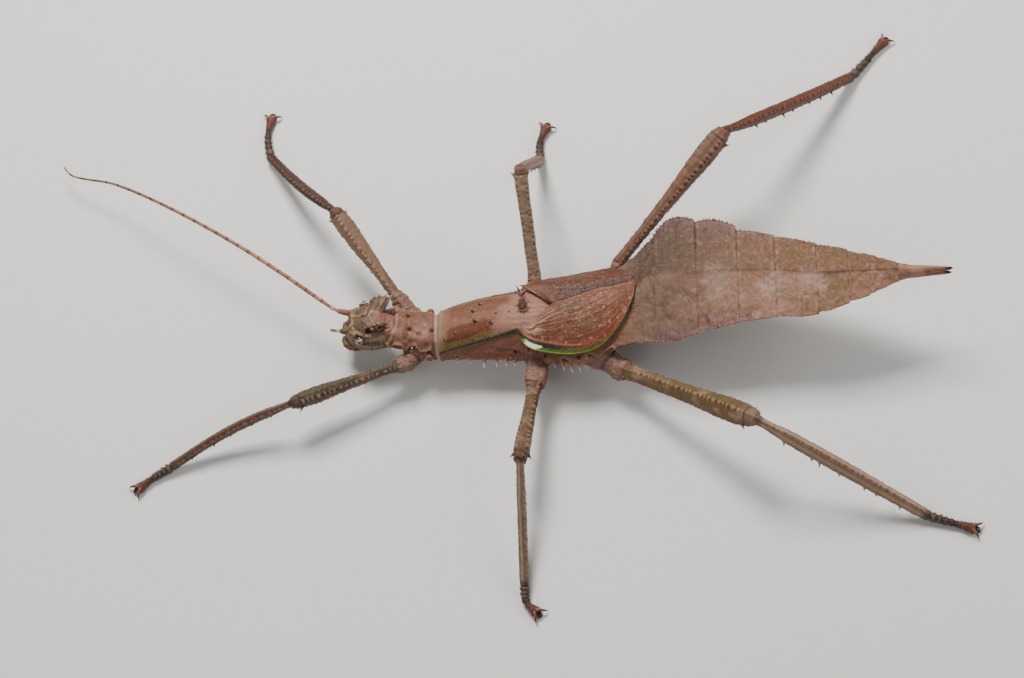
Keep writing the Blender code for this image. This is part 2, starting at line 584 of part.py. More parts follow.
def antenna_piece(name, route, first, last, radii, points, collection, gap=GAP):
    """A length of antenna between two shares of its route, as a bevelled curve made a mesh."""
    total = np.linalg.norm(np.diff(np.asarray(route), axis=0), axis=1).sum()
    shares = np.linspace(first, last - gap / total if last < 1 else 1.0, points)
    centres = (along_route(route, shares) - CENTRE) * MM
    thickness = np.interp(shares, (0, ANTENNA_CUTS[1], 0.5, 0.95, 1), radii)
    data = bpy.data.curves.new(name, "CURVE")
    data.dimensions = "3D"
    data.bevel_depth = MM
    data.bevel_resolution = 1
    data.use_fill_caps = True
    line = data.splines.new("POLY")
    line.points.add(points - 1)
    for point, centre, radius in zip(line.points, centres, thickness):
        point.co = (*centre, 1.0)
        point.radius = radius
    curve = bpy.data.objects.new(name + "_line", data)
    collection.objects.link(curve)
    graph = bpy.context.evaluated_depsgraph_get()
    mesh = bpy.data.meshes.new_from_object(curve.evaluated_get(graph))
    bm = bmesh.new()
    bm.from_mesh(mesh)
    bmesh.ops.remove_doubles(bm, verts=bm.verts, dist=0.000005)
    bmesh.ops.recalc_face_normals(bm, faces=bm.faces)
    bmesh.ops.triangulate(bm, faces=bm.faces)
    bm.to_mesh(mesh)
    bm.free()
    obj = bpy.data.objects.new(name, mesh)
    obj.matrix_world = curve.matrix_world
    collection.objects.link(obj)
    bpy.data.objects.remove(curve, do_unlink=True)
    return obj


def build_antennae(parts):
    """The right antenna in a scape and three lengths, and the short left one."""
    radii = (0.62, 0.5, 0.34, 0.26, 0.14)
    names = ("antenna_right_scape", "antenna_right_1", "antenna_right_2", "antenna_right_3")
    counts = (6, 9, 9, 12)
    made = []
    for name, first, last, count in zip(names, ANTENNA_CUTS, ANTENNA_CUTS[1:], counts):
        made.append(antenna_piece(name, ANTENNA_RIGHT, first, last, radii, count, parts))
    stub = (0.62, 0.6, 0.5, 0.36, 0.26)
    left = antenna_piece("antenna_left_stub", ANTENNA_LEFT, 0.0, 1.0, stub, 8, parts)
    combine(made[0], [antenna_cutter(parts)], "DIFFERENCE")
    combine(left, [antenna_cutter(parts)], "DIFFERENCE")
    return made + [left]


def antenna_cutter(parts):
    """The head and its brows, grown by the clearance."""
    shell = head_loft("clear", parts, GAP)
    brows = [ball("brow", (BROW[0], HEAD_MIDDLE + side * BROW[1], BROW[2]),
                  (BROW_RADIUS + GAP,) * 3, parts, segments=8) for side in (-1, 1)]
    return combine(shell, brows)


def build_tegmen(name, inner, outer, layer, parts):
    """A forewing: a sheet between two margins that lies over the back, its veins raised."""
    along, across = 13, 11
    shares = np.linspace(0, 1, along)
    inner_line = along_route(inner, shares)
    outer_line = along_route(outer, shares)
    points = np.zeros((along, across, 3))
    for i in range(along):
        for j in range(across):
            v = j / (across - 1)
            x, y = inner_line[i] * (1 - v) + outer_line[i] * v
            vein = VEIN_HEIGHT if j % 2 == 1 and i > 0 else 0.0
            floor = back_height(x, y) + GAP + 0.15 + TEGMEN_THICKNESS
            if name == "tegmen_left":
                floor += over_right(x, y) * (TEGMEN_THICKNESS + VEIN_HEIGHT + GAP + 0.15)
            points[i, j] = (x, y, max(floor, layer(shares[i], v)) + vein)
    faces = []
    for i in range(along - 1):
        for j in range(across - 1):
            a, b = i * across + j, i * across + j + 1
            c, d = (i + 1) * across + j + 1, (i + 1) * across + j
            faces += [(a, b, c), (a, c, d)]
    obj = new_object(name, points.reshape(-1, 3), faces, parts)
    bm = bmesh.new()
    bm.from_mesh(obj.data)
    bmesh.ops.recalc_face_normals(bm, faces=bm.faces)
    if sum(face.normal.z for face in bm.faces) < 0:
        bmesh.ops.reverse_faces(bm, faces=bm.faces)
    bm.to_mesh(obj.data)
    bm.free()
    thickness = obj.modifiers.new("thickness", "SOLIDIFY")
    thickness.thickness = TEGMEN_THICKNESS * MM
    thickness.offset = -1.0
    return obj


def over_right(x, y):
    """1 where the left forewing lies over the right one, 0 clear of it, and smooth between."""
    margin = np.interp(x, *np.array(TEGMEN_RIGHT_INNER).T)
    share = np.clip((y - margin + 1.6) / 1.2, 0, 1)
    return share * share * (3 - 2 * share)


def left_layer(u, v):
    """Height of the left forewing's arch, which lies over the right one."""
    inner = 12.2 - 0.4 * u
    outer = 10.6 - 1.3 * math.sin(math.pi * u) + 0.6 * u
    return inner + (outer - inner) * v**1.6


def right_layer(u, v):
    """Height of the right forewing's arch."""
    inner = 10.6
    outer = 10.9 - 0.9 * math.sin(math.pi * u) - 0.3 * u
    return inner + (outer - inner) * v**1.6


def leg_frame(name):
    """Pair, hip, knee, ankle and toe of a leg, worked out from its lengths and angles."""
    leg = LEGS[name]
    pair = name.split("_")[1]
    hip = np.array(leg.hip)
    knee = hip + FEMUR_LENGTH[pair] * heading(*leg.femur)
    ankle = knee + TIBIA_LENGTH[pair] * heading(*leg.tibia)
    toe = ankle + leg.tarsus[1] * heading(leg.tarsus[0], 0)
    toe[2] = TARSUS_END_HEIGHT
    return pair, hip, knee, ankle, toe


def leg_section(start, end, share, width, height, angles, roll=0.0, bow=0.0):
    """Middle of a leg part's section at a share of its length, and its points about that middle.

    The section is an oval rolled about the leg; the middle bows sideways by a half sine.
    """
    side, up = side_and_up(unit(end - start))
    middle = start + (end - start) * share + side * bow * math.sin(math.pi * share)
    turn = math.radians(roll)
    across = math.cos(turn) * side + math.sin(turn) * up
    upwards = math.cos(turn) * up - math.sin(turn) * side
    out = np.outer(np.cos(angles) * width, across) + np.outer(np.sin(angles) * height, upwards)
    return middle, out


def leg_rings(start, end, shape, before, after, roll=0.0, bow=0.0, sides=8):
    """Rings of a leg part; its ends are mitred against the parts before and after it."""
    way = unit(end - start)
    angles = np.linspace(0, 2 * math.pi, sides, endpoint=False)
    bulge = np.where(np.arange(sides) % 2 == 1, 1.06, 0.94)
    rings = []
    for share, width, height in shape:
        middle, out = leg_section(start, end, share, width, height, angles, roll, bow)
        rings.append(middle + out * bulge[:, None])
    for index, other, sign in ((0, before, 1), (-1, after, -1)):
        if other is None:
            continue
        normal = unit(way + other)
        offsets = rings[index] - (start if index == 0 else end)
        slide = (sign * GAP / 2 - offsets @ normal) / (way @ normal)
        rings[index] = rings[index] + np.outer(slide, way)
    return rings


def build_leg(name, parts):
    """Coxa, femur, tibia and tarsus of one leg."""
    leg = LEGS[name]
    pair, hip, knee, ankle, toe = leg_frame(name)
    root = np.array(leg.root)
    coxa_way, femur_way = unit(hip - root), unit(knee - hip)
    tibia_way, tarsus_way = unit(ankle - knee), unit(toe - ankle)
    made = [build_coxa(name, pair, root, hip, femur_way, parts)]
    femur_shape = FEMUR_SHAPE.get(name, FEMUR_SHAPE[pair])
    rings = leg_rings(hip, knee, femur_shape, coxa_way, tibia_way, leg.roll)
    femur = loft(f"{name}_femur", rings, parts)
    made.append(combine(femur, femur_spines(pair, hip, knee, femur_shape, leg.roll, parts)))
    rings = leg_rings(knee, ankle, TIBIA_SHAPE[pair], femur_way, tarsus_way, leg.roll, leg.bow)
    tibia = loft(f"{name}_tibia", rings, parts)
    made.append(combine(tibia, tibia_spines(pair, knee, ankle, leg, parts)))
    made.append(build_tarsus(name, ankle, toe, tibia_way, leg.tarsus[2], parts))
    return made


def build_coxa(name, pair, root, hip, femur_way, parts):
    """A short stout hip joint, shaped to the flank it grows from."""
    inner, outer = COXA_RADIUS.get(name, COXA_RADIUS[pair])
    shape = ((0, inner, inner), (0.5, inner, inner), (0.8, outer * 1.05, outer * 1.05),
             (1, outer * 0.95, outer * 0.95))
    obj = loft(f"{name}_coxa", leg_rings(root, hip, shape, None, femur_way), parts)
    clear = trunk_loft("clear", PRONOTUM[1] - 1, RING_ENDS[3], 30, parts, GAP)
    return combine(obj, [clear], "DIFFERENCE")


def leg_spine(start, end, shape, share, angle, size, lean, roll, bow, parts):
    """A spine on a leg part's side; size is its length and radius, lean its slant to the foot."""
    shape = np.array(shape)
    width, height = (np.interp(share, shape[:, 0], shape[:, column]) for column in (1, 2))
    middle, out = leg_section(start, end, share, width, height, [math.radians(angle)], roll, bow)
    way = unit(out[0]) + lean * unit(end - start)
    return spine(middle + out[0] * 0.96, way, size[0], size[1], parts, sides=4)


def femur_spines(pair, hip, knee, shape, roll, parts):
    """Rows of small spines on the femur's edges, a ring on its sleeve and two at the knee."""
    places = [(FEMUR_SLEEVE[pair], 20 + 140 * row, (0.6, 0.3), 0.35) for row in range(3)]
    for edge in (45, 135, 225, 315):
        count = 3 if edge < 180 else 2
        for step in range(count):
            share = 0.26 + 0.62 * (step + random.uniform(0.2, 0.8)) / count
            places.append((share, edge, (random.uniform(0.55, 0.9), 0.26), 0.35))
    places += [(0.94, angle - roll, (1.1, 0.42), 0.8) for angle in (-15, 195)]
    return [leg_spine(hip, knee, shape, *place, roll, 0.0, parts) for place in places]


def tibia_spines(pair, knee, ankle, leg, parts):
    """Teeth along the tibia's lower edges, largest on the hind legs."""
    count = {"fore": 3, "mid": 4, "hind": 7}[pair]
    length = {"fore": 0.6, "mid": 0.7, "hind": 1.15}[pair]
    pieces = []
    for step in range(count):
        share = 0.16 + 0.72 * (step + random.uniform(0.25, 0.75)) / count
        angle = (225 if step % 2 else 315) - leg.roll
        size = (length * random.uniform(0.75, 1.1), 0.38)
        pieces.append(leg_spine(knee, ankle, TIBIA_SHAPE[pair], share, angle, size, 0.45,
                                leg.roll, leg.bow, parts))
    return pieces


def build_tarsus(name, ankle, toe, tibia_way, bend, parts):
    """Five-jointed foot with pads flat on the floor, two curved claws and a pad between them."""
    way = unit(toe - ankle)
    start = ankle + way * 0.1
    rings = leg_rings(start, toe, TARSUS_SHAPE, tibia_way, None, bow=bend)
    sunk = []
    for ring, (share, _, _) in zip(rings, TARSUS_SHAPE):
        ring = ring.copy()
        if share > 0.1:
            drop = ring[:, 2].min() + 0.12
            lower = ring[:, 2] < ring[:, 2].mean()
            ring[lower, 2] -= drop
        ring[:, 2] = np.maximum(ring[:, 2], 0.0 if share > 0.1 else 0.35)
        sunk.append(ring)
    obj = loft(f"{name}_tarsus", sunk, parts)
    level = unit((toe - rings[-3].mean(axis=0)) * (1, 1, 0))
    compass = math.atan2(level[1], level[0])
    spread = CLAW_SPREAD.get(name, CLAW_SPREAD_USUAL)
    pieces = []
    for turn in (spread, -spread):
        out = heading(math.degrees(compass) + turn, 0)
        inwards = unit(level - out * 0.2)
        shares = np.linspace(0, 1, 5)[:, None]
        bend = np.sin(shares * math.pi / 2)
        line = toe - level * 0.5 + out * CLAW_LENGTH * shares * 0.9 + inwards * 0.5 * bend
        line[:, 2] = toe[2] + 0.1 + 0.35 * np.sin(shares[:, 0] * math.pi) - 0.55 * shares[:, 0] ** 2
        pieces.append(tube("claw", line, (0.36, 0.34, 0.3, 0.22, 0.09), parts, sides=5))
    pad = toe + level * 0.4
    pad[2] = 0.42
    pieces.append(ball("pad", pad, (0.7, 0.65, 0.4), parts, turn=math.degrees(compass), segments=8,
                       rings=5))
    return combine(obj, pieces)


def main():
    for obj in list(bpy.data.objects):
        bpy.data.objects.remove(obj, do_unlink=True)
    parts = bpy.data.collections.new(ANIMAL)
    bpy.context.scene.collection.children.link(parts)

    head = build_head(parts)
    finish(head, HEAD_SKIN, 0.6)
    for obj in build_eyes(parts):
        finish(obj, EYE_COLOUR, 0.2)
    for obj in build_antennae(parts):
        finish(obj, LEG_SKIN, 0.55)
    for obj in (build_pronotum(parts), build_mesothorax(parts), build_metathorax(parts)):
        finish(obj, SKIN, 0.6)
    for obj in build_abdomen(parts):
        finish(obj, SKIN, 0.65)
    finish(build_ovipositor(parts), SKIN, 0.5)
    wings = (build_tegmen("tegmen_left", TEGMEN_LEFT_INNER, TEGMEN_LEFT_OUTER, left_layer, parts),
             build_tegmen("tegmen_right", TEGMEN_RIGHT_INNER, TEGMEN_RIGHT_OUTER, right_layer, parts))
    for obj in wings:
        finish(obj, WING_SKIN, 0.5)
    for name in LEGS:
        for obj in build_leg(name, parts):
            finish(obj, LEG_SKIN, 0.6)


main()
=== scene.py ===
# %% [markdown]
# # A resting Haaniella gintingi
# This notebook dresses a life-size model of a female spiny ground stick insect. The solids are
# already packed as a frame, so every surface here is put where the frame has that part. Real
# insects wear a hard skin of plates; a sculptor could model each plate by hand, but worked-out
# surfaces keep every plate, groove and spine tied to a few named sizes.

# %% Load the frame
from itertools import product

import bpy
import numpy as np
from mathutils import Matrix


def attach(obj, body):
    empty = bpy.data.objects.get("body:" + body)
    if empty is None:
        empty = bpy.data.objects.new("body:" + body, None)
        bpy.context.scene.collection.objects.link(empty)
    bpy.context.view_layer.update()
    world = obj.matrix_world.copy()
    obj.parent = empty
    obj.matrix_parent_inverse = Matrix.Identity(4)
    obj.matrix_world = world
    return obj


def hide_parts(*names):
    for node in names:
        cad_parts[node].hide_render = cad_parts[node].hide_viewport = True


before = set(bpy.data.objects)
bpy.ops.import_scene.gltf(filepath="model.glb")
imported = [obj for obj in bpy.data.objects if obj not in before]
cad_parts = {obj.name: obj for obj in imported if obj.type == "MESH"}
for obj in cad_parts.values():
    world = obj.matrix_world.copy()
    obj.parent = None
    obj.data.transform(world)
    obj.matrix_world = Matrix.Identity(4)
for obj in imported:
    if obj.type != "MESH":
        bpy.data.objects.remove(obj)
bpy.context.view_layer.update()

# %% [markdown]
# ## The drawing board
# All sizes below are millimetres on one drawing: the head points to -X, the animal's right side to
# +Y, and the floor is z = 0. Working in millimetres keeps the numbers short, and one function turns
# them into the frame's metres.

# %% Drawing units and colours
MM = 0.001
STANCE_MIDDLE = np.array([-2.2, 5.92, 0.0])
rng = np.random.default_rng(1864)


def to_frame(points):
    """Drawing millimetres to the frame's metres, about the stance's middle."""
    return (np.asarray(points, float) - STANCE_MIDDLE) * MM


def shade(red, green, blue):
    """Linear colour of a shade written as on a colour chart, from 0 to 255."""
    chart = np.array([red, green, blue]) / 255
    return np.where(chart > 0.04045, ((chart + 0.055) / 1.055) ** 2.4, chart / 12.92)


# %% [markdown]
# ## Camera, floor and light
# The animal was seen from above its left side through a long lens. A camera can be turned by
# hand until the picture fits; here its three angles are named, so the view can be read. Three
# large soft lamps over a pale floor stand in for a studio.

# %% Camera
LENS, SENSOR = 90.0, 36.0
SIGHT_DISTANCE = 416.26            # from the lens to the middle of the back
SIGHT_POINT = np.array([0.0, 0.0, 8.0])
TILT, HEADING, ROLL = np.radians((25.0, 13.5, -15.0))


def camera_axes():
    """Right, up and back of a camera tilted from the vertical, turned and then rolled."""
    right = np.array([np.cos(HEADING), np.sin(HEADING), 0.0])
    back = np.array([np.sin(HEADING) * np.sin(TILT), -np.cos(HEADING) * np.sin(TILT), np.cos(TILT)])
    up = np.cross(back, right)
    return (right * np.cos(ROLL) + up * np.sin(ROLL), up * np.cos(ROLL) - right * np.sin(ROLL), back)


def add_camera():
    axes = camera_axes()
    data = bpy.data.cameras.new("camera")
    data.lens, data.sensor_width = LENS, SENSOR
    data.clip_start, data.clip_end = 0.01, 10.0
    camera = bpy.data.objects.new("camera", data)
    bpy.context.scene.collection.objects.link(camera)
    camera.matrix_world = Matrix.Translation(to_frame(SIGHT_POINT + axes[2] * SIGHT_DISTANCE)) @ (
        Matrix(np.column_stack(axes).tolist()).to_4x4())
    bpy.context.scene.camera = camera
    return camera


camera = add_camera()
print("camera at", [round(v, 4) for v in camera.location])

# %% Lamps and world
# name, place in mm about the stance, size in mm, power in watts, colour
LAMPS = (
    ("key", (-60.0, 190.0, 300.0), 120.0, 1.75, (1.0, 0.97, 0.93)),
    ("fill", (-150.0, -260.0, 260.0), 320.0, 0.5, (0.95, 0.98, 1.0)),
    ("rim", (260.0, 60.0, 180.0), 200.0, 0.4, (1.0, 0.98, 0.96)),
)
WORLD_GREY, WORLD_STRENGTH = 0.9, 0.10


def add_lamp(name, place, size, power, colour):
    """A square area lamp that faces the middle of the animal."""
    data = bpy.data.lights.new(name, "AREA")
    data.size, data.energy, data.color = size * MM, power, colour
    lamp = bpy.data.objects.new(name, data)
    bpy.context.scene.collection.objects.link(lamp)
    place = np.array(place) * MM
    back = place / np.linalg.norm(place)
    right = np.cross((0, 0, 1), back)
    right /= np.linalg.norm(right)
    axes = np.column_stack((right, np.cross(back, right), back))
    lamp.matrix_world = Matrix.Translation(place) @ Matrix(axes.tolist()).to_4x4()


for lamp in LAMPS:
    add_lamp(*lamp)
world = bpy.data.worlds.new("studio")
world.use_nodes = True
background = world.node_tree.nodes["Background"]
background.inputs["Color"].default_value = (WORLD_GREY, WORLD_GREY, WORLD_GREY, 1.0)
background.inputs["Strength"].default_value = WORLD_STRENGTH
bpy.context.scene.world = world
print("lamps:", len(LAMPS))

# %% [markdown]
# ## Shader maths in plain Python
# A finish is a chain of shader nodes. Linking them one by one hides the idea, so one small class
# wraps a socket and lets `1 - mask` or `height * 0.5` add the Math nodes.


# %% Sockets as values
class Value:
    """A socket that Python's arithmetic works on by adding Math nodes."""

    def __init__(self, finish, socket):
        self.finish, self.socket = finish, socket

    def maths(self, operation, first, second):
        return self.finish.node("Math", {0: first, 1: second}, operation=operation)

    def __add__(self, other):
        return self.maths("ADD", self, other)

    def __sub__(self, other):
        return self.maths("SUBTRACT", self, other)

    def __rsub__(self, other):
        return self.maths("SUBTRACT", other, self)

    def __mul__(self, other):
        return self.maths("MULTIPLY", self, other)

    __radd__ = __add__
    __rmul__ = __mul__


# %% Finishes
DEPTH = 1.3                        # power that deepens and saturates the painted colours


def socket_name(name):
    """A shader socket's name from a Python name, such as Base Color from base_color."""
    return name.replace("_", " ").title().replace("Ior", "IOR")


class Finish:
    """One material, whose nodes all come from node()."""

    def __init__(self, name, **constants):
        self.material = bpy.data.materials.new(name)
        self.material.use_nodes = True
        self.tree = self.material.node_tree
        self.shader = self.tree.nodes["Principled BSDF"]
        for socket, value in constants.items():
            self.shader.inputs[socket_name(socket)].default_value = value
        self.place = self.node("TexCoord", output="Object")
        self.millimetres = self.node("VectorMath", {0: self.place, "Scale": 1 / MM}, operation="SCALE")

    def node(self, kind, inputs=None, output=0, **settings):
        """Adds a node: first its settings, then the values or links of its sockets."""
        node = self.tree.nodes.new("ShaderNode" + kind)
        for name, value in settings.items():
            setattr(node, name, value)
        for name, value in (inputs or {}).items():
            self.feed(node.inputs[name], value)
        return Value(self, node.outputs[output])

    def feed(self, socket, value):
        if isinstance(value, Value):
            self.tree.links.new(value.socket, socket)
        else:
            socket.default_value = value

    def painted(self):
        """The colour painted on the points, deepened."""
        colour = self.node("Attribute", output="Color", attribute_name="paint")
        return self.node("Gamma", {"Color": colour, "Gamma": DEPTH})

    def noise(self, size, detail=3.0):
        """Cloudy noise from 0 to 1 whose lumps are about size millimetres wide."""
        return self.node("TexNoise", {"Vector": self.millimetres, "Scale": 1 / size, "Detail": detail})

    def cells(self, size, feature="F1"):
        """Distance to the nearest of scattered points, about size millimetres apart."""
        return self.node("TexVoronoi", {"Vector": self.millimetres, "Scale": 1 / size},
                         output="Distance", feature=feature)

    def step(self, value, low, high):
        """0 below low, 1 above high, and an S-shaped rise between."""
        return self.node("MapRange", {"Value": value, "From Min": low, "From Max": high},
                         interpolation_type="SMOOTHSTEP")

    def mix(self, factor, first, second):
        """The first colour where the factor is 0, the second where it is 1."""
        node = self.node("Mix", data_type="RGBA")
        inputs = node.socket.node.inputs
        for index, value in ((0, factor), (6, first), (7, second)):
            if not isinstance(value, Value) and index:
                value = (*value, 1.0)
            self.feed(inputs[index], value)
        return Value(self, node.socket.node.outputs[2])

    def dim(self, colour, factor):
        """A colour times a number."""
        return self.node("VectorMath", {0: colour, "Scale": factor}, operation="SCALE")

    def bump(self, height, depth):
        """A normal pushed by a height from 0 to 1, worth depth millimetres."""
        return self.node("Bump", {"Height": height, "Distance": depth * MM, "Strength": 1.0})

    def wear(self, **sockets):
        """Links what changes over the surface to the shader's sockets."""
        for name, value in sockets.items():
            self.feed(self.shader.inputs[socket_name(name)], value)
        return self.material


# %% Floor
FLOOR_SIZE = 4.0
FLOOR_SHADE = shade(232, 231, 227)


def paper_finish():
    """Matt pale paper with a breath of tone and tooth."""
    finish = Finish("studio_paper", roughness=0.9)
    tone = finish.noise(60.0, 2.0) * 0.03 + 0.985
    paper = finish.node("RGB")
    paper.socket.default_value = (*FLOOR_SHADE, 1.0)
    return finish.wear(base_color=finish.dim(paper, tone), normal=finish.bump(finish.noise(0.8), 0.02))


def add_floor():
    half = FLOOR_SIZE / 2
    mesh = bpy.data.meshes.new("studio_floor")
    corners = [(-half, -half, 0.0), (half, -half, 0.0), (half, half, 0.0), (-half, half, 0.0)]
    mesh.from_pydata(corners, [], [(0, 1, 2, 3)])
    mesh.materials.append(paper_finish())
    floor = bpy.data.objects.new("studio_floor", mesh)
    bpy.context.scene.collection.objects.link(floor)


add_floor()

# %% [markdown]
# ## Tools for worked-out surfaces
# Every piece is a grid of points: one direction runs along it and the other around it. A table of
# a few stations is smoothed into a flowing outline, random bumps come from a small block of random
# numbers, and all of it is computed as whole arrays.


# %% Curves
def smooth(table, at):
    """Catmull-Rom values of a table, whose first column is the parameter, at the given places."""
    table = np.asarray(table, float)
    at = np.clip(np.atleast_1d(np.asarray(at, float)), table[0, 0], table[-1, 0])
    i = np.clip(np.searchsorted(table[:, 0], at, side="right") - 1, 0, len(table) - 2)
    before, after = np.clip(i - 1, 0, None), np.clip(i + 2, None, len(table) - 1)
    x0, x1, x2, x3 = (table[k, 0] for k in (before, i, i + 1, after))
    v0, v1, v2, v3 = (table[k, 1:] for k in (before, i, i + 1, after))
    span = (x2 - x1)[..., None]
    t = (at - x1)[..., None] / span
    slope1 = (v2 - v0) / np.maximum(x2 - x0, 1e-9)[..., None] * span
    slope2 = (v3 - v1) / np.maximum(x3 - x1, 1e-9)[..., None] * span
    return ((2 * t**3 - 3 * t**2 + 1) * v1 + (t**3 - 2 * t**2 + t) * slope1
            + (3 * t**2 - 2 * t**3) * v2 + (t**3 - t**2) * slope2)


def along_route(points, shares):
    """Points of a smooth curve through a route at shares of its length."""
    points = np.asarray(points, float)
    steps = np.linalg.norm(np.diff(points, axis=0), axis=1)
    length = np.concatenate(([0.0], np.cumsum(steps))) / steps.sum()
    return smooth(np.column_stack((length, points)), shares)


def unit(vectors):
    """Vectors divided by their own lengths."""
    vectors = np.asarray(vectors, float)
    return vectors / np.maximum(np.linalg.norm(vectors, axis=-1, keepdims=True), 1e-12)


def heading(compass, climb):
    """Unit vector of a compass angle from +X and a climb angle, both in degrees."""
    compass, climb = np.radians(compass), np.radians(climb)
    return np.array([np.cos(compass) * np.cos(climb), np.sin(compass) * np.cos(climb), np.sin(climb)])


def side_and_up(way):
    """Unit vectors square to a direction: level sideways, and upwards."""
    side = unit(np.cross(way, (0.0, 0.0, 1.0)))
    return side, np.cross(side, way)


# %% Masks and random bumps
LATTICE = rng.random((24, 24, 24))


def ramp(value, low, high):
    """0 below low, 1 above high, and an S-shaped rise 3t^2 - 2t^3 between."""
    t = np.clip((value - low) / (high - low), 0, 1)
    return t * t * (3 - 2 * t)


def between(value, low, high, before, after):
    """1 from low to high, with an S-shaped rise and fall from before to after either end."""
    return ramp(value, low - before, low + after) * ramp(-value, -high - before, -high + after)


def bell(distance, reach):
    """1 at no distance, fading as exp(-(d/reach)^2)."""
    return np.exp(-(np.asarray(distance) / reach) ** 2)


def noise(points, size, octaves=3):
    """Smooth bumps from -1 to 1: lattice values blended by 3t^2 - 2t^3, octave by octave."""
    total, height = 0.0, 1.0
    for octave in range(octaves):
        place = points / size * 2**octave + 7.3 * octave + 40.0
        cell = np.floor(place).astype(int)
        t = place - cell
        t = t * t * (3 - 2 * t)
        value = 0.0
        for corner in product((0, 1), repeat=3):
            weight = np.prod(np.where(corner, t, 1 - t), axis=-1)
            index = (cell + corner) % len(LATTICE)
            value = value + weight * LATTICE[index[..., 0], index[..., 1], index[..., 2]]
        total = total + (2 * value - 1) * height
        height *= 0.5
    return total


def away(points, place):
    """Distance from each point to a place."""
    return np.linalg.norm(points - np.array(place), axis=-1)


def route_distance(points, route):
    """Distance from each point to a line of straight stretches."""
    best = np.inf
    for start, end in zip(route, route[1:]):
        start, way = np.array(start), np.array(end) - start
        share = np.clip((points - start) @ way / (way @ way), 0, 1)
        best = np.minimum(best, np.linalg.norm(points - start - share[..., None] * way, axis=-1))
    return best


def outward(points):
    """Unit normals of a closed tube of rings, pointing away from the rings' middles."""
    along = np.gradient(points, axis=-3)
    around = np.roll(points, -1, axis=-2) - np.roll(points, 1, axis=-2)
    normal = unit(np.cross(around, along))
    middle = points.mean(axis=-2, keepdims=True)
    return normal * np.sign(((points - middle) * normal).sum(-1).mean())


def raised(points, height):
    """A closed tube of rings whose points are pushed out by a height in millimetres."""
    return points + outward(points) * height[..., None]


def tint(paint, colour, mask):
    """Blends a colour into a painted surface where the mask is 1."""
    return paint + (np.asarray(colour) - paint) * np.clip(mask, 0, 1)[..., None]


def painted(points, base, *coats):
    """A base colour over a grid of points, then coats of (colour, mask), one over another."""
    paint = np.broadcast_to(base, points.shape)
    for colour, mask in coats:
        paint = tint(paint, colour, mask)
    return paint


# %% From grids to meshes
class Surface:
    """Gathers closed grids of points in millimetres, painted point by point, into one mesh."""

    def __init__(self):
        self.points, self.paint, self.loops, self.sizes, self.count = [], [], [], [], 0

    def keep(self, points, paint, faces):
        paint = np.broadcast_to(paint, points.shape)
        self.points.append(points.reshape(-1, 3))
        self.paint.append(paint.reshape(-1, 3))
        for group in faces:
            self.loops.append((group + self.count).ravel())
            self.sizes.append(np.full(len(group), group.shape[1]))
        self.count += points.size // 3

    def tubes(self, points, paint):
        """Adds tubes shaped (tubes, rings, sides, 3), each closed by a flat face at both ends."""
        points = points if points.ndim == 4 else points[None]
        paint = paint[None] if np.ndim(paint) == 3 else paint
        many, rings, sides = points.shape[:3]
        index = np.arange(many * rings * sides).reshape(many, rings, sides)
        beside = np.roll(index, -1, axis=2)
        quads = np.stack((index[:, :-1], beside[:, :-1], beside[:, 1:], index[:, 1:]), axis=-1)
        normal = np.cross(np.roll(points, -1, axis=2) - points, np.gradient(points, axis=1))
        inwards = ((points - points.mean(axis=2, keepdims=True)) * normal).sum() < 0
        faces = [quads.reshape(-1, 4), index[:, 0, ::-1], index[:, -1]]
        self.keep(points, paint, [face[:, ::-1] for face in faces] if inwards else faces)

    def blade(self, top, bottom, paint_top, paint_bottom):
        """Adds a thin wing: two grids of like shape, joined around their edge."""
        rows, columns = top.shape[:2]
        upper = np.arange(rows * columns).reshape(rows, columns)
        lower = upper + rows * columns

        def quads(grid):
            return np.stack((grid[:-1, :-1], grid[1:, :-1], grid[1:, 1:], grid[:-1, 1:]), -1)

        def rim(grid):
            return np.concatenate((grid[0, :-1], grid[:-1, -1], grid[-1, :0:-1], grid[:0:-1, 0]))

        edge, under = rim(upper), rim(lower)
        wall = np.stack((edge, np.roll(edge, -1), np.roll(under, -1), under), -1)
        faces = [quads(upper).reshape(-1, 4), quads(lower).reshape(-1, 4)[:, ::-1], wall]
        facing = np.cross(top[1, 0] - top[0, 0], top[0, 1] - top[0, 0])
        if facing @ (top[0, 0] - bottom[0, 0]) < 0:
            faces = [face[:, ::-1] for face in faces]
        self.keep(np.stack((top, bottom)), np.stack((paint_top, paint_bottom)), faces)

    def make(self, name, material, slot, *nodes):
        """The mesh object, riding on the body and standing for the named nodes."""
        mesh = bpy.data.meshes.new(name)
        loops, sizes = np.concatenate(self.loops), np.concatenate(self.sizes)
        mesh.vertices.add(self.count)
        mesh.vertices.foreach_set("co", to_frame(np.concatenate(self.points)).ravel())
        mesh.loops.add(len(loops))
        mesh.loops.foreach_set("vertex_index", loops)
        mesh.polygons.add(len(sizes))
        mesh.polygons.foreach_set("loop_start", np.concatenate(([0], np.cumsum(sizes)[:-1])))
        mesh.update(calc_edges=True)
        mesh.validate()
        mesh.shade_smooth()
        colour = mesh.attributes.new("paint", "FLOAT_COLOR", "POINT")
        rgba = np.column_stack((np.concatenate(self.paint), np.ones(self.count)))
        colour.data.foreach_set("color", np.clip(rgba, 0, 1).ravel())
        mesh.materials.append(material)
        piece = bpy.data.objects.new(name, mesh)
        bpy.context.scene.collection.objects.link(piece)
        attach(piece, "root")
        if nodes:
            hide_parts(*nodes)
        print(f"{name}: {(sizes - 2).sum()} triangles")


# %% [markdown]
# ## Thorns
# The species is named for its spines. One could place modelled cones by hand; here a thorn is a
# ring of points whose radius shrinks to the tip and flares at the root, so that it grows out of the
# skin instead of standing on it. Hundreds are worked out at once.


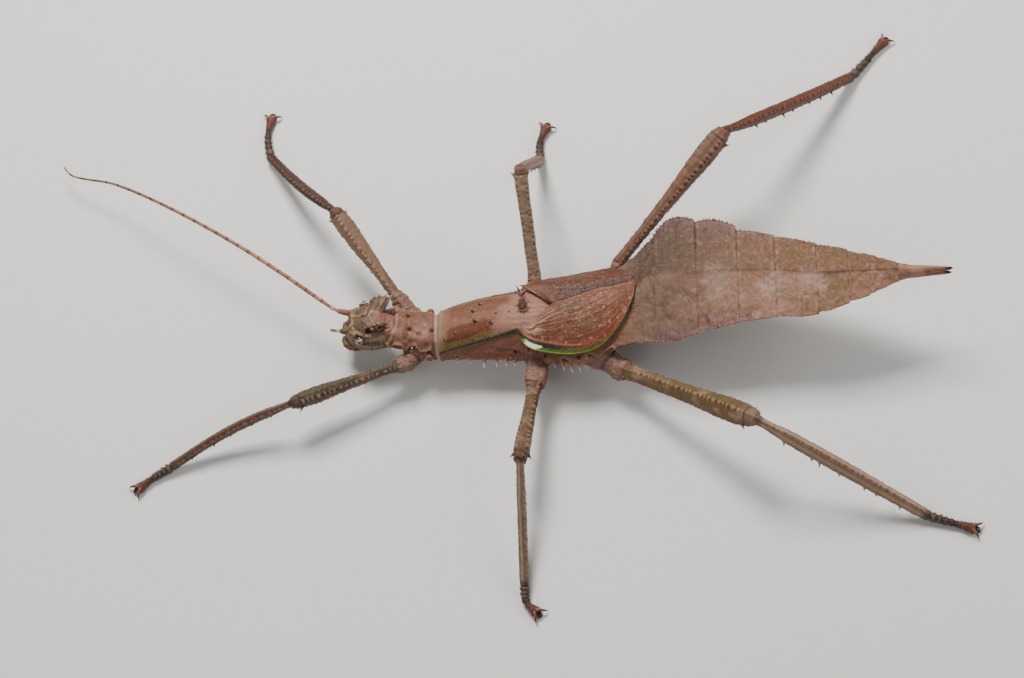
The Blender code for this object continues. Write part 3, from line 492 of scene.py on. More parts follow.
# %% Thorns
def thorns(roots, ways, lengths, radii, base, tip, sides=7, rings=7, sunk=0.25):
    """Points and paint of many thorns: radius = r (1 - h)^0.9, plus a flare at the root."""
    roots = np.asarray(roots, float).reshape(-1, 3)
    ways = unit(np.broadcast_to(ways, roots.shape))
    lengths = np.broadcast_to(lengths, len(roots))[:, None, None, None]
    radii = np.broadcast_to(radii, len(roots))[:, None, None, None]
    side = unit(np.cross(ways, (0.31, 0.17, 0.94)))
    other = np.cross(ways, side)
    height = np.linspace(0, 1, rings)[None, :, None, None]
    angle = np.linspace(0, 2 * np.pi, sides, endpoint=False)[None, None, :, None]
    width = radii * (0.04 + 0.96 * (1 - height) ** 0.9 + 0.55 * np.exp(-height / 0.13))
    reach = lengths * (height * (1 + sunk) - sunk)
    points = (roots[:, None, None] + ways[:, None, None] * reach
              + width * (np.cos(angle) * side[:, None, None] + np.sin(angle) * other[:, None, None]))
    base, tip = (np.broadcast_to(c, (len(roots), 3))[:, None, None] for c in (base, tip))
    return points, base + (tip - base) * ramp(height, 0.35, 0.85)


# %% [markdown]
# ## Chitin
# The hard skin is dusty, finely grained and slightly waxy. Its markings follow the plates, so each
# grid carries its own painted colour, and the finish adds what is too fine to paint: cloudy
# mottling, pale flecks, dark pinpricks, and a grain that catches the light.


# %% Chitin finishes
def chitin(name, roughness=0.5, mottle=0.3, pits=0.55, grain=0.05, coat=0.0):
    """Painted colour with mottling, flecks and pinpricks, over a grainy bump."""
    finish = Finish(name, coat_weight=coat, coat_roughness=0.25, specular_ior_level=0.4)
    clouds, fine = finish.noise(1.6, 4.0), finish.noise(0.28)
    speck = finish.step(finish.cells(0.42), 0.16, 0.06)
    tone = 1.0 + (clouds - 0.5) * (2 * mottle) + (fine - 0.5) * mottle
    colour = finish.dim(finish.painted(), tone)
    dust = finish.step(finish.noise(0.36, 5.0), 0.56, 0.72)
    colour = finish.mix(dust * 0.28, colour, shade(176, 140, 122))
    colour = finish.mix(speck * pits * finish.step(clouds, 0.4, 0.6), colour, shade(46, 30, 24))
    height = fine * 0.6 + finish.noise(0.12, 2.0) * 0.4 - speck * 0.5
    rough = (fine - 0.5) * 0.25 + roughness
    return finish.wear(base_color=colour, roughness=rough, normal=finish.bump(height, grain * 2.2))


TRUNK_FINISH = chitin("dusty_chitin", roughness=0.55, grain=0.055)
SPINE_FINISH = chitin("spine_chitin", roughness=0.4, mottle=0.15, pits=0.2, grain=0.02, coat=0.2)
LEG_FINISH = chitin("leg_chitin", roughness=0.5, mottle=0.34, pits=0.7, grain=0.06)
HEAD_FINISH = chitin("head_chitin", roughness=0.5, mottle=0.36, pits=0.5, grain=0.07, coat=0.1)
CLAW_FINISH = chitin("claw_chitin", roughness=0.3, mottle=0.12, pits=0.1, grain=0.01, coat=0.5)
print("finishes:", len(bpy.data.materials))

# %% [markdown]
# ## The trunk
# Pronotum, mesothorax, metathorax and abdomen are plates over one continuous body. They could be
# modelled ring by ring, but then every joint would show as a seam. One skin is swept from the neck
# to the last ring: stations give its margins and height, and a half section goes from a box-like
# thorax to a roof-like, keeled abdomen.

# %% Trunk sizes
# x, left margin y, right margin y, margin height, rise of the back, drop of the belly,
# thorax share (1 is box-like, 0 roof-like), lean of the back to the right
TRUNK = np.array([
    (-20.4, 0.5, 6.3, 6.6, 2.3, 2.6, 1.0, 0.10),
    (-19.0, 0.0, 6.7, 6.6, 3.0, 2.9, 1.0, 0.10),
    (-16.5, -1.0, 6.2, 6.5, 3.0, 3.0, 1.0, 0.10),
    (-12.4, -2.0, 5.8, 6.4, 3.0, 3.0, 1.0, 0.12),
    (-9.0, -2.1, 6.9, 6.3, 3.5, 3.0, 1.0, 0.16),
    (-5.3, -2.2, 8.0, 6.3, 3.9, 3.1, 1.0, 0.20),
    (0.7, -2.8, 9.4, 6.4, 4.4, 3.3, 1.0, 0.20),
    (6.0, -3.6, 10.6, 6.6, 4.1, 3.5, 1.0, 0.20),
    (12.8, -4.0, 11.2, 7.2, 3.3, 3.8, 0.9, 0.18),
    (17.0, -2.7, 11.4, 8.6, 2.1, 4.2, 0.5, 0.10),
    (20.0, -2.2, 13.0, 9.1, 1.8, 4.2, 0.15, 0.04),
    (22.3, -2.3, 15.2, 9.6, 2.1, 4.2, 0.0, 0.0),
    (26.0, -2.5, 17.4, 10.4, 2.4, 4.3, 0.0, 0.0),
    (30.4, -1.5, 17.3, 11.1, 2.7, 4.3, 0.0, 0.0),
    (37.0, -0.5, 15.4, 12.0, 2.9, 4.1, 0.0, 0.0),
    (43.0, 0.0, 13.7, 12.5, 2.8, 3.8, 0.0, 0.0),
    (49.6, 0.0, 11.8, 13.0, 2.5, 3.3, 0.0, 0.0),
    (54.5, 1.2, 10.1, 13.7, 2.2, 2.8, 0.0, 0.0),
    (58.5, 2.2, 8.8, 14.3, 1.8, 2.2, 0.0, 0.0),
    (62.2, 3.6, 7.2, 14.8, 1.3, 1.5, 0.0, 0.0),
    (64.0, 4.5, 6.5, 14.9, 0.9, 1.0, 0.0, 0.0),
])
# Half sections from the keel out to the margin and back under: place around, across, up
SECTION_PLACES = (0.0, 0.13, 0.26, 0.35, 0.45, 0.56, 0.62, 0.72, 0.86, 1.0)
CHEST = ((1, 0), (0.97, -0.25), (0.80, -0.66), (0.45, -0.94), (0, -1))
FRONT_THORAX = ((0, 1), (0.33, 0.95), (0.62, 0.84), (0.79, 0.60), (0.92, 0.33), *CHEST)
REAR_THORAX = ((0, 1), (0.25, 0.97), (0.46, 0.88), (0.62, 0.68), (0.83, 0.35), *CHEST)
ABDOMEN = ((0, 1), (0.33, 0.68), (0.62, 0.40), (0.80, 0.24), (0.92, 0.13), (1, 0.05),
           (0.97, -0.06), (0.80, -0.20), (0.50, -0.74), (0, -1))
NECK, COLLAR = -19.4, (-12.75, -12.05)
RING_ENDS = (20.0, 23.4, 30.4, 37.0, 43.0, 49.6, 54.5, 57.9, 64.0)     # abdomen rings 2 to 9
LOBES = {1: {3: 1.7, 4: 1.6, 5: 0.5, 6: 0.4, 7: 0.3},
         -1: {2: 0.2, 3: 0.5, 4: 0.5, 5: 0.5, 6: 0.6, 7: 0.4, 8: 0.2}}
TRUNK_ROWS = 580


def ring_share(x):
    """How far x lies through its abdomen ring, 0 to 1, and 0 ahead of the abdomen."""
    ends = np.array(RING_ENDS)
    i = np.clip(np.searchsorted(ends, x, side="right") - 1, 0, len(ends) - 2)
    return np.clip((x - ends[i]) / (ends[i + 1] - ends[i]), 0, 1) * (x > ends[0])


def lobe(x, side):
    """Reach of the margin's lobes: a half sine on each ring, with a step at its rear corner."""
    share, reach = ring_share(x), np.zeros_like(x)
    for number, (front, rear) in enumerate(zip(RING_ENDS, RING_ENDS[1:]), start=2):
        inside = (x >= front) & (x < rear)
        amount = LOBES[side].get(number, 0.0)
        step = 0.3 if number < 5 else 0.18 if number < 9 else 0.0
        outline = amount * np.sin(np.pi * (0.12 + 0.72 * share)) + step * (share**5 - 0.35)
        reach = np.where(inside, outline, reach)
    return reach


def front_flare(across):
    """How far the pronotum's front edge reaches forwards, most at its left margin."""
    return 0.8 * ramp(np.abs(across), 0.72, 0.98) + ramp(-across, 0.1, 0.9) - 0.2


def trunk_surface(x, around):
    """Points of the trunk at x along it (rows) and from -1 to 1 around it (columns).

    across is the signed share from the middle to the margin, up the share of the rise or drop.
    """
    left, right, height, rise, drop, thorax, lean = smooth(TRUNK, x).T[:, :, None]
    place = np.abs(around)
    front, rear, roof = (smooth(np.column_stack((SECTION_PLACES, table)), place)
                         for table in (FRONT_THORAX, REAR_THORAX, ABDOMEN))
    back = ramp(x, -12.0, 1.0)[:, None, None]
    section = (front * (1 - back) + rear * back) * thorax[..., None] + roof * (1 - thorax)[..., None]
    across, up = section[..., 0], section[..., 1]
    side = np.where(around < 0, -1, 1)
    reach = (right - left) / 2 + np.where(side > 0, lobe(x, 1)[:, None], lobe(x, -1)[:, None])
    lift = up * np.where(up > 0, rise, drop)
    y = (left + right) / 2 + side * across * reach + lean * lift
    flare = front_flare(across * side) * ramp(-x, 16.0, 19.4)[:, None]
    return np.stack((x[:, None] - flare, y, height + lift), axis=-1), across * side, up


# %% [markdown]
# ### Grooves, keels and wrinkles of the trunk
# The plates differ in relief: a saddle-like pronotum with a furrow and pits, a pale band of soft
# membrane behind it, a smooth middle plate between two sharp keels, wrinkled flanks, and abdomen
# rings that each overlap the next. Relief could be painted as bump alone; moving the points shows
# it in the outline too.

# %% Trunk relief
PRONOTUM_PITS = ((-16.74, 2.03, 9.4), (-12.96, 1.52, 9.3), (-13.9, -0.33, 8.35), (-16.9, 4.6, 9.3),
                 (-14.2, 4.9, 9.2))
FLANK_PITS = ((0.51, -2.04, 7.33), (5.29, -2.93, 7.19), (10.84, -3.5, 7.44))
# Grooves between the plates of the left flank, and folds in one abdomen ring on the plan
FLANK_GROOVES = (((2.77, -1.76, 8.04), (2.9, -1.9, 6.6), (4.2, -2.6, 5.9), (6.2, -3.4, 6.3)),
                 ((12.3, -3.5, 7.9), (14.0, -3.6, 7.0), (16.3, -2.9, 8.5)),
                 ((8.3, -3.7, 7.0), (9.6, -3.8, 6.2), (12.0, -3.8, 6.9)))
ABDOMEN_FOLDS = (((44.1, 3.9), (45.7, 2.5), (47.7, 1.7), (48.8, 2.9)),
                 ((45.6, 5.2), (46.9, 4.0), (48.6, 4.3)))
KEEL_FRONT, KEEL_REAR = 0.91, 0.53      # across share of the keels at the two ends of their plate
KEEL_SCALE = 5.5                        # about the plate's half width in mm for one across share
FURROW_X = -16.7                        # the pronotum's cross furrow


def keel_across(x):
    """Across share of the mesonotum's keels, which close in towards the wing root."""
    return KEEL_FRONT + (KEEL_REAR - KEEL_FRONT) * np.clip((x + 12.0) / 12.9, 0, 1) ** 1.15


def scalloped_rim(points, up):
    """Height in millimetres over the pronotum's wavy side margin, far off behind the collar."""
    x = points[..., 0]
    wave = 0.42 - 0.08 * ramp(-x, 16.5, 18.0) + 0.12 * np.sin(2.3 * x + 0.8) + 0.05 * np.sin(5.1 * x)
    return (up - wave) * 3.0 + 9.0 * ramp(x, -13.2, -12.8)


def trunk_relief(points, across, up):
    """Height in millimetres that the plates' relief adds along the normals."""
    x, wide = points[..., 0], np.abs(across)
    share, back = ring_share(x), up > 0
    relief = 0.10 * noise(points, 2.2) * ramp(x, -13, -12)
    relief += (0.14 * noise(points, 1.8) + 0.06 * noise(points, 0.6)) * ramp(-x, 12.9, 13.3)
    rim = scalloped_rim(points, up)
    relief += 0.22 * bell(rim - 0.1, 0.22) - 0.25 * bell(rim + 0.45, 0.25)
    relief += 0.28 * noise(points + 5, 1.5, 2) * ramp(-rim, 0.5, 1.1) * ramp(up, -0.6, -0.3)
    relief -= 0.75 * ramp(-rim, 0.2, 1.2) * ramp(-x, 16.6, 18.4)
    smooth_plate = ramp(x, -12, -11.5) * ramp(-x, -1.5, 0.5) * (wide < keel_across(x)) * back
    relief = relief * (1 - 0.8 * smooth_plate)
    relief += 0.12 * bell(x + front_flare(across) - NECK - 0.5, 0.35)
    relief -= 0.30 * bell(x - FURROW_X, 0.6) * back
    relief -= 0.28 * between(x, *COLLAR, 0.1, 0.1) - 0.14 * bell(x - COLLAR[1] - 0.25, 0.25)
    for pit in PRONOTUM_PITS:
        relief -= 0.3 * bell(away(points, pit), 0.35)
    for pit in FLANK_PITS:
        distance = away(points, pit)
        relief += 0.12 * bell(distance - 0.45, 0.15) - 0.25 * bell(distance, 0.28)
    gap = (wide - keel_across(x)) * KEEL_SCALE
    keel = ramp(x, -12.3, -11.6) * ramp(-x, -1.6, -0.8) * back
    relief += keel * (0.16 * bell(gap, 0.16) - 0.14 * bell(gap - 0.45, 0.3))
    flank = ramp(wide, 0.6, 0.8) * ramp(-up, -0.5, -0.2) * ramp(-x, -20, -16)
    relief += 0.14 * flank * noise(points * (0.5, 1, 1.6), 0.9)
    for route in FLANK_GROOVES:
        distance = route_distance(points, route)
        relief += 0.12 * bell(distance - 0.45, 0.2) - 0.22 * bell(distance, 0.18)
    abdomen = ramp(x, 19.5, 20.5)
    relief += abdomen * (0.08 * share**5 - 0.05 * bell(share, 0.05) - 0.03)
    ribs = np.sin(6.5 * x + 2.5 * noise(points, 3.0, 2))
    relief += abdomen * 0.025 * ribs * ramp(wide, 0.55, 0.8) * back
    relief += abdomen * 0.07 * bell(across, 0.02) * back * ramp(x, 30, 38)
    relief += abdomen * 0.10 * noise(points * (1, 0.7, 1), 1.3, 3) * ramp(wide, 0.02, 0.2)
    relief += abdomen * 0.07 * ramp(noise(points, 0.55, 2), 0.2, 0.9) * back
    for route in ABDOMEN_FOLDS:
        distance = route_distance(points[..., :2] + 0.25 * noise(points, 1.5)[..., None], route)
        relief += 0.07 * bell(distance, 0.3) * back * ramp(noise(points + 1, 1.0), -0.5, 0.3)
    return relief


# %% [markdown]
# ### Colours of the trunk
# The animal is dusty pink-brown, with a rust-orange panel and green keel lines on the middle plate,
# pale membrane at the collar, purple-grey lobes, and dark lines where the rings meet. The colours
# are blended over the skin by the same measures that shape it.

# %% Trunk paint
PINK_BROWN, RUST, OLIVE = shade(142, 104, 84), shade(120, 67, 17), shade(130, 110, 48)
DARK_GREEN, MEMBRANE, PALE_STREAK = shade(38, 54, 40), shade(176, 152, 140), shade(190, 158, 138)
ROOF_SHADE, ROOF_LIGHT, LOBE_GREY = shade(134, 102, 80), shade(170, 134, 114), shade(148, 114, 108)
LINE_DARK, PIT_DARK, FLANK_RED = shade(82, 60, 48), shade(62, 30, 20), shade(134, 84, 66)
BACK_PINK, BLOT_RED, RIM_FAWN = shade(168, 130, 114), shade(112, 66, 44), shade(150, 116, 102)
RIM_RUST, PLATE_BROWN, PLATE_FRONT = shade(138, 78, 56), shade(150, 106, 84), shade(164, 142, 112)
PLATE_REAR, FLANK_LUMP, ROOF_PINK = shade(166, 128, 110), shade(150, 104, 90), shade(180, 144, 128)
LOBE_DOT, SEAM_PALE, BELLY_BROWN = shade(96, 62, 60), shade(192, 160, 146), shade(112, 84, 66)
PALE_AND_HIGHLIGHT = shade(206, 180, 168)
# Patches of the abdomen, the pale ones painted highlights and the olive ones its own colour: x, share
# across, reach in mm
HIGHLIGHT_PATCHES = ((33.5, -0.22, 3.0), (41.3, -0.42, 2.0), (47.8, -0.15, 1.9), (50.2, -0.25, 1.6),
                (43.5, -0.3, 2.4))
OLIVE_PATCHES = ((46.8, 0.6, 2.0), (52.2, 0.6, 1.8), (54.1, -0.35, 1.8))


def paint_thorax(points, across, up):
    """Pronotum, collar and middle plate."""
    x, y, wide = points[..., 0], points[..., 1], np.abs(across)
    cloud, pronotum, rim = noise(points, 2.5), ramp(-x, 13, 14), scalloped_rim(points, up)
    grooves = [route_distance(points, route) for route in FLANK_GROOVES]
    plate = ramp(x, -12.1, -11.9) * (wide < keel_across(x)) * (up > 0)
    edge = keel_across(x) - wide + 0.02 * cloud
    gap = ramp(np.abs(across + 0.1 + 0.12 * noise(points, 1.6, 2)), 0.06, 0.2)
    panel = plate * ramp(edge, 0.12, 0.17) * gap * (0.65 + 0.35 * ramp(-across, -0.1, 0.1))
    rear = x + 1.4 * cloud - 3.2 * ramp(across, 0.05, 0.3)
    panel = panel * ramp(x - 0.5 * cloud, -10.8, -9.8) * ramp(-rear, 2.9, 3.9)
    border = plate * (1 - ramp(edge, 0.08, 0.17)) * ramp(-x, 0.0, 2.5)
    border = border * (0.25 + 0.75 * ramp(-across, 0.0, 0.2))
    pale = ramp(x + 1.2 * cloud, -3.8, -1.4) * ramp(-across, -0.3, -0.05)
    lumps = ramp(x, 3.0, 6.0) * ramp(-x, -19.0, -16.0) * ramp(-up, -0.1, 0.3)
    streaks = ramp(np.sin(y * 7 + 3 * noise(points, 1.5)), 0.2, 0.9) * ramp(x, -1.2, 0.8) * ramp(-x, -8, -5)
    keel = bell((wide - keel_across(x)) * KEEL_SCALE, 0.2) * ramp(x, -12.3, -11.6) * ramp(-x, -1.5, -0.5)
    return painted(
        points, PINK_BROWN, (FLANK_RED, 0.5 + 0.5 * cloud),
        (BACK_PINK, bell(y - 1.0, 1.6) * pronotum * ramp(up, 0.3, 0.8)),
        (BLOT_RED, 0.7 * ramp(noise(points + 2, 1.1), 0.2, 0.8) * pronotum),
        (PALE_STREAK, 0.5 * ramp(noise(points + 7, 0.7), 0.4, 0.9) * pronotum),
        (LINE_DARK, 0.5 * bell(x - FURROW_X, 0.25) * (up > 0.4) * ramp(cloud, -0.4, 0.4)),
        (PALE_STREAK, 0.8 * bell(x + front_flare(across) - NECK - 0.35, 0.25)),
        (RIM_FAWN, 0.7 * ramp(-rim, 0.4, 0.9) * ramp(noise(points, 1.1), -0.5, 0.5)),
        (LINE_DARK, 0.55 * bell(rim + 0.4, 0.2)), (PALE_STREAK * 1.15, 0.85 * bell(rim, 0.2)),
        (RIM_RUST, 0.8 * bell(rim - 0.7, 0.25) * bell(x + 18.2, 0.6)),
        *((PIT_DARK, 1.1 * bell(away(points, pit), 0.3)) for pit in PRONOTUM_PITS + FLANK_PITS),
        *(coat for groove in grooves for coat in ((LINE_DARK, 0.6 * bell(groove, 0.2)),
                                                  (PALE_STREAK, 0.4 * bell(groove - 0.5, 0.25)))),
        (PLATE_BROWN, plate), (RUST, panel), (OLIVE, 0.85 * border),
        (PLATE_FRONT, plate * bell(x + 11.9, 0.7) * 0.8),
        (PLATE_REAR, plate * np.maximum(pale, ramp(x, -1.0, 1.0)) * 0.9),
        (ROOF_SHADE * 1.1, ramp(x + 0.5 * cloud, 16.0, 18.5)),
        (FLANK_LUMP, 0.8 * lumps * ramp(noise(points, 1.4), -0.3, 0.6)),
        (PALE_STREAK, streaks * ramp(up, 0.7, 0.85) * ramp(-across, -0.3, 0.1) * 0.6),
        (DARK_GREEN, keel * (up > 0) * 0.95), (MEMBRANE, between(x, *COLLAR, 0.05, 0.1)))


def paint_abdomen(points, across, up):
    """Keeled roof, lobes and belly of the abdomen."""
    x, wide, above = points[..., 0], np.abs(across), up > 0
    share = ring_share(x)
    left_half = ramp(0.26 * ramp(-x, -30, -22) - across, -0.02, 0.14)
    lobes = ramp(wide, 0.66, 0.9) * ramp(-x, -44, -36) * ramp(x, 21, 25)
    dots = ramp(noise(points * (1.0, 0.5, 0.5) + 12, 0.8, 2), 0.3, 0.8) * ramp(wide, 0.68, 0.76)
    grains = ramp(noise(points + 15, 0.45, 2), 0.55, 1.0) * ramp(-x, -44, -38)
    seam = np.minimum(share, 1 - share) * 6.0 + 0.5 * np.abs(noise(points * (0, 1, 1), 1.2, 2))
    dark = 0.3 + 0.6 * ramp(-x, -33, -31) * ramp(across, -0.5, -0.1)
    pale = bell(seam - 0.5, 0.25) * ramp(noise(points + 3, 0.8), -0.2, 0.5)
    wrinkles = noise(points * (1, 0.8, 1) + 21, 0.34, 2)

    def patch(at, out):
        return np.hypot(x - at, (across - out) * 8)

    paint = painted(
        points, ROOF_SHADE, (ROOF_LIGHT, left_half),
        (OLIVE * 0.8, 0.4 * ramp(noise(points, 4.0), 0.1, 0.8)),
        (ROOF_PINK, 0.6 * ramp(noise(points + 9, 2.6), 0.2, 0.9) * left_half),
        # the pale patches are painted highlights
        *((PALE_AND_HIGHLIGHT, 0.45 * ramp(-patch(at, out) - 0.8 * noise(points + at, 0.5, 2),
                                   -1.3 * reach, -0.2 * reach)) for at, out, reach in HIGHLIGHT_PATCHES),
        *((OLIVE, 0.4 * bell(patch(at, out), reach)) for at, out, reach in OLIVE_PATCHES),
        (LOBE_GREY, 0.85 * lobes * (0.8 + 0.5 * noise(points, 0.9))),
        (LOBE_DOT, 0.6 * dots * ramp(x, 24, 26) * ramp(-x, -38, -36)),
        (PALE_AND_HIGHLIGHT, 0.5 * grains * (0.5 + 0.5 * ramp(across, 0.5, 0.62))),
        (LINE_DARK, dark * bell(seam, 0.2)), (SEAM_PALE, 0.4 * pale),
        (BELLY_BROWN, ramp(-up, 0.05, 0.3) * 0.6),
        (LINE_DARK, 0.24 * ramp(wrinkles, 0.1, 0.8) * above),
        (PALE_AND_HIGHLIGHT, 0.18 * ramp(-wrinkles, 0.2, 0.8) * above * ramp(x, 28, 40)))
    paint = paint * (1 - 0.42 * ramp(-x, -43, -22))[..., None]
    return tint(paint, LINE_DARK, 0.2 * bell(across, 0.012) * above * ramp(x, 32, 40))


# %% Make the trunk skin
def trunk_columns():
    """Places around the trunk, closer together on the back and at the margins than below."""
    half = np.concatenate((np.linspace(0.0, 0.50, 54, endpoint=False),
                           np.linspace(0.50, 0.62, 14, endpoint=False),
                           np.linspace(0.62, 1.0, 17)))
    return np.concatenate((-half[:0:-1], half[:-1]))


def shrink_ends(points):
    """Adds a few rings that draw both ends in to a point."""
    first, last = points[:1], points[-1:]
    middle = [end.mean(axis=1, keepdims=True) for end in (first, last)]
    front = [middle[0] + (first - middle[0]) * k for k in (0.02, 0.5, 0.9)]
    rear = [middle[1] + (last - middle[1]) * k for k in (0.9, 0.5, 0.02)]
    return np.concatenate((*front, points, *rear))


def make_trunk():
    """The section swept from the neck to the last ring, pushed out by its relief."""
    x = np.linspace(NECK, RING_ENDS[-1], TRUNK_ROWS)
    points, across, up = trunk_surface(x, trunk_columns())
    rear = ramp(points[..., 0], 18.0, 21.0)
    paint = tint(paint_thorax(points, across, up), paint_abdomen(points, across, up), rear)
    points = raised(points, trunk_relief(points, across, up))
    skin = Surface()
    skin.tubes(shrink_ends(points), np.pad(paint, ((3, 3), (0, 0), (0, 0)), mode="edge"))
    rings = [f"abdomen_{number}" for number in range(2, 10)]
    skin.make("trunk_skin", TRUNK_FINISH, "abdomen_shell", "pronotum", "mesothorax", "metathorax", *rings)


make_trunk()

# %% [markdown]
# ### Spines of the trunk
# Pale-tipped spines line the flanks, small dark green tubercles dot the middle plate, two dark
# crown-like compound spines stand before the wings, and fine teeth edge the abdomen. They are set
# on the same surface function as the skin, so none can float.

# %% Places of the trunk's spines
# x and length of the flank spines
MESO_SPINES = ((-9.3, 0.65), (-7.2, 0.7), (-4.9, 1.55), (-2.8, 1.25), (-1.2, 1.15), (0.2, 1.05))
META_SPINES = ((6.6, 0.9), (8.0, 1.4), (9.2, 1.7), (10.5, 1.5), (11.6, 1.2))
FLANK_PLACE = 0.62                 # place around the half section where flank spines grow
# Tubercles: x, y and radius
TUBERCLES = ((-10.84, -0.03, 0.24), (-5.02, 5.64, 0.3), (-6.16, 4.42, 0.32), (-5.82, 2.68, 0.36),
             (-3.09, 2.09, 0.34), (-9.16, 0.89, 0.22), (-2.3, 3.6, 0.18), (-0.2, 3.7, 0.16),
             (-8.6, -0.6, 0.16), (-6.2, -0.05, 0.18), (-9.4, 5.1, 0.14), (-3.2, 6.2, 0.16))
# Crowns: root x, y; lean, height and radius of the stem; prongs' ways and lengths
CROWNS = (
    ((2.05, 4.5), (0.0, -0.1, 1.0), 0.7, 0.8,
     ((-1.0, -0.2, 0.7, 0.75), (-0.6, -0.8, 0.6, 0.6), (0.1, -1.0, 0.6, 0.6), (0.8, -0.5, 0.6, 0.7),
      (1.0, 0.3, 0.7, 0.75), (0.3, 0.9, 0.9, 0.7), (-0.5, 0.8, 0.9, 0.6))),
    ((2.15, 5.75), (-0.15, 0.45, 1.0), 1.7, 0.62,
     ((-0.45, 0.55, 1.0, 1.6), (-1.0, 0.0, 0.5, 0.8), (1.0, 0.1, 0.6, 0.95), (0.3, 0.7, 0.9, 0.8),
      (0.2, -0.9, 0.5, 0.5))),
)
CROWN_STEM = ((1.5, -0.35), (1.25, -0.05), (0.98, 0.2), (0.85, 0.45), (0.92, 0.7), (1.0, 0.9), (0.85, 1.02),
              (0.5, 0.92), (0.05, 0.86))           # radius and height as shares of the stem's
SPINE_BASE, SPINE_TIP = shade(176, 142, 124), shade(230, 210, 190)
CROWN_RED, CROWN_TIP, CROWN_PINK = shade(100, 50, 32), shade(206, 168, 140), shade(212, 178, 160)
KNOB_X, KNOB_RADII, KNOB_ORANGE = -13.65, (0.66, 0.55, 0.62), shade(142, 94, 72)
TUBERCLE_GREEN, TUBERCLE_HIGHLIGHT = shade(66, 72, 52), shade(166, 162, 140)
TOOTH_SPACING, TOOTH_RUST = 0.5, shade(186, 96, 62)


def trunk_point(x, around):
    """Points of the trunk's skin at pairs of x and place around."""
    x, around = np.broadcast_arrays(np.atleast_1d(np.asarray(x, float)), around)
    points, _, _ = trunk_surface(x, around)
    return points[np.arange(len(x)), np.arange(len(x))]


def back_point(x, y):
    """Points on the back at places on the plan, found by looking up the section's own y."""
    around = np.linspace(-0.55, 0.55, 400)
    rows, _, _ = trunk_surface(np.atleast_1d(np.asarray(x, float)), around)
    nearest = np.abs(rows[..., 1] - np.atleast_1d(y)[:, None]).argmin(axis=1)
    return rows[np.arange(len(rows)), nearest]


# %% Make the trunk's spines
def stem(root, way, height, radius, sides=28):
    """A short stem turned about a line, flared at the foot and cupped at the top."""
    reach, lift = np.array(CROWN_STEM).T[:, :, None, None]
    side, other = np.cross(way, (0, 1, 0)), np.cross(way, (1, 0, 0))
    angle = np.linspace(0, 2 * np.pi, sides, endpoint=False)[None, :, None]
    around = np.cos(angle) * unit(side) + np.sin(angle) * unit(other)
    return root + way * lift * height + around * reach * radius


def ball(centre, radii, turn=0.0, rings=26, sides=32):
    """An egg-shaped grid with its poles along X, turned about the upright by degrees."""
    polar = np.linspace(0.03, np.pi - 0.03, rings)[:, None]
    angle = np.linspace(0, 2 * np.pi, sides, endpoint=False)
    egg = np.stack((-np.cos(polar) + 0 * angle, np.sin(polar) * np.cos(angle),
                    np.sin(polar) * np.sin(angle)), axis=-1) * radii
    turn = np.radians(turn)
    return egg @ np.array([[np.cos(turn), np.sin(turn), 0], [-np.sin(turn), np.cos(turn), 0],
                           [0, 0, 1]]) + centre


def make_trunk_spines():
    """Thorns, knobs and tubercles whose roots are points of the trunk's own surface."""
    skin, crowns = Surface(), Surface()
    for side in (-1, 1):
        for row, slant in ((MESO_SPINES, 0.0), (META_SPINES, 0.3)):
            x, lengths = np.array(row).T
            roots = trunk_point(x, side * FLANK_PLACE)
            skin.tubes(*thorns(roots, (slant, side, -0.3), lengths, 0.34 + 0.08 * lengths, SPINE_BASE,
                               SPINE_TIP, sides=10, rings=8))
        small = rng.uniform(-12.0, 16.0, 46)
        roots = trunk_point(small, side * rng.uniform(0.5, 0.7, len(small)))
        skin.tubes(*thorns(roots, (0.1, side, -0.1), rng.uniform(0.12, 0.3, len(small)), 0.09,
                           SPINE_BASE, SPINE_TIP, sides=6, rings=4))
        x = np.arange(-20.0, -13.0, 1.15) + rng.uniform(-0.3, 0.3, 7)
        roots = trunk_point(x, side * rng.uniform(0.32, 0.5, len(x)))
        skin.tubes(*thorns(roots, (0.0, side * 0.8, 0.7), rng.uniform(0.25, 0.5, len(x)), 0.16,
                           SPINE_BASE, SPINE_TIP))
        root = trunk_point(KNOB_X, side * 0.55)[0] + (0.0, side * 0.3, 0.25)
        knob = ball(root, KNOB_RADII, 0.0, 40, 40)
        knob = raised(knob, 0.08 * noise(knob, 0.5))
        face = ramp((knob[..., 1] - root[1]) * side, 0.2, 0.42)
        crowns.tubes(knob, tint(PINK_BROWN, KNOB_ORANGE, face))
    x, y, size = np.array(TUBERCLES).T
    for root, radius in zip(back_point(x, y), size):
        dome = ball(root + (0, 0, radius * 0.25), (radius, radius * 0.9, radius * 0.85), 0.0, 14, 16)
        # a painted highlight on the side of each tubercle towards +X
        lit = ramp(dome[..., 0] - root[0], radius * 0.1, radius * 0.7)
        skin.tubes(dome, tint(TUBERCLE_GREEN, TUBERCLE_HIGHLIGHT, lit))
    for (x, y), lean, height, radius, prongs in CROWNS:
        root = back_point(x, y)[0]
        cup = stem(root, unit(lean), height, radius)
        start = 0.7 if height > 1 else 0.25
        rise = ramp(cup[..., 2] - root[2] + 0.2 * noise(cup, 0.5), start * height, (start + 0.3) * height)
        crowns.tubes(cup, tint(CROWN_PINK, CROWN_RED, rise))
        for *way, length in prongs:
            level = unit(np.array(way) * (1, 1, 0)) * radius * 0.8
            crowns.tubes(*thorns(root + unit(lean) * height * 0.85 + level, way, length, 0.2, CROWN_RED,
                                 CROWN_TIP if length > 1 else CROWN_RED, sides=10, rings=8, sunk=0.4))
    skin.make("trunk_spines", SPINE_FINISH, "thorax_shell")
    crowns.make("crowns", TRUNK_FINISH, "thorax_shell")


make_trunk_spines()


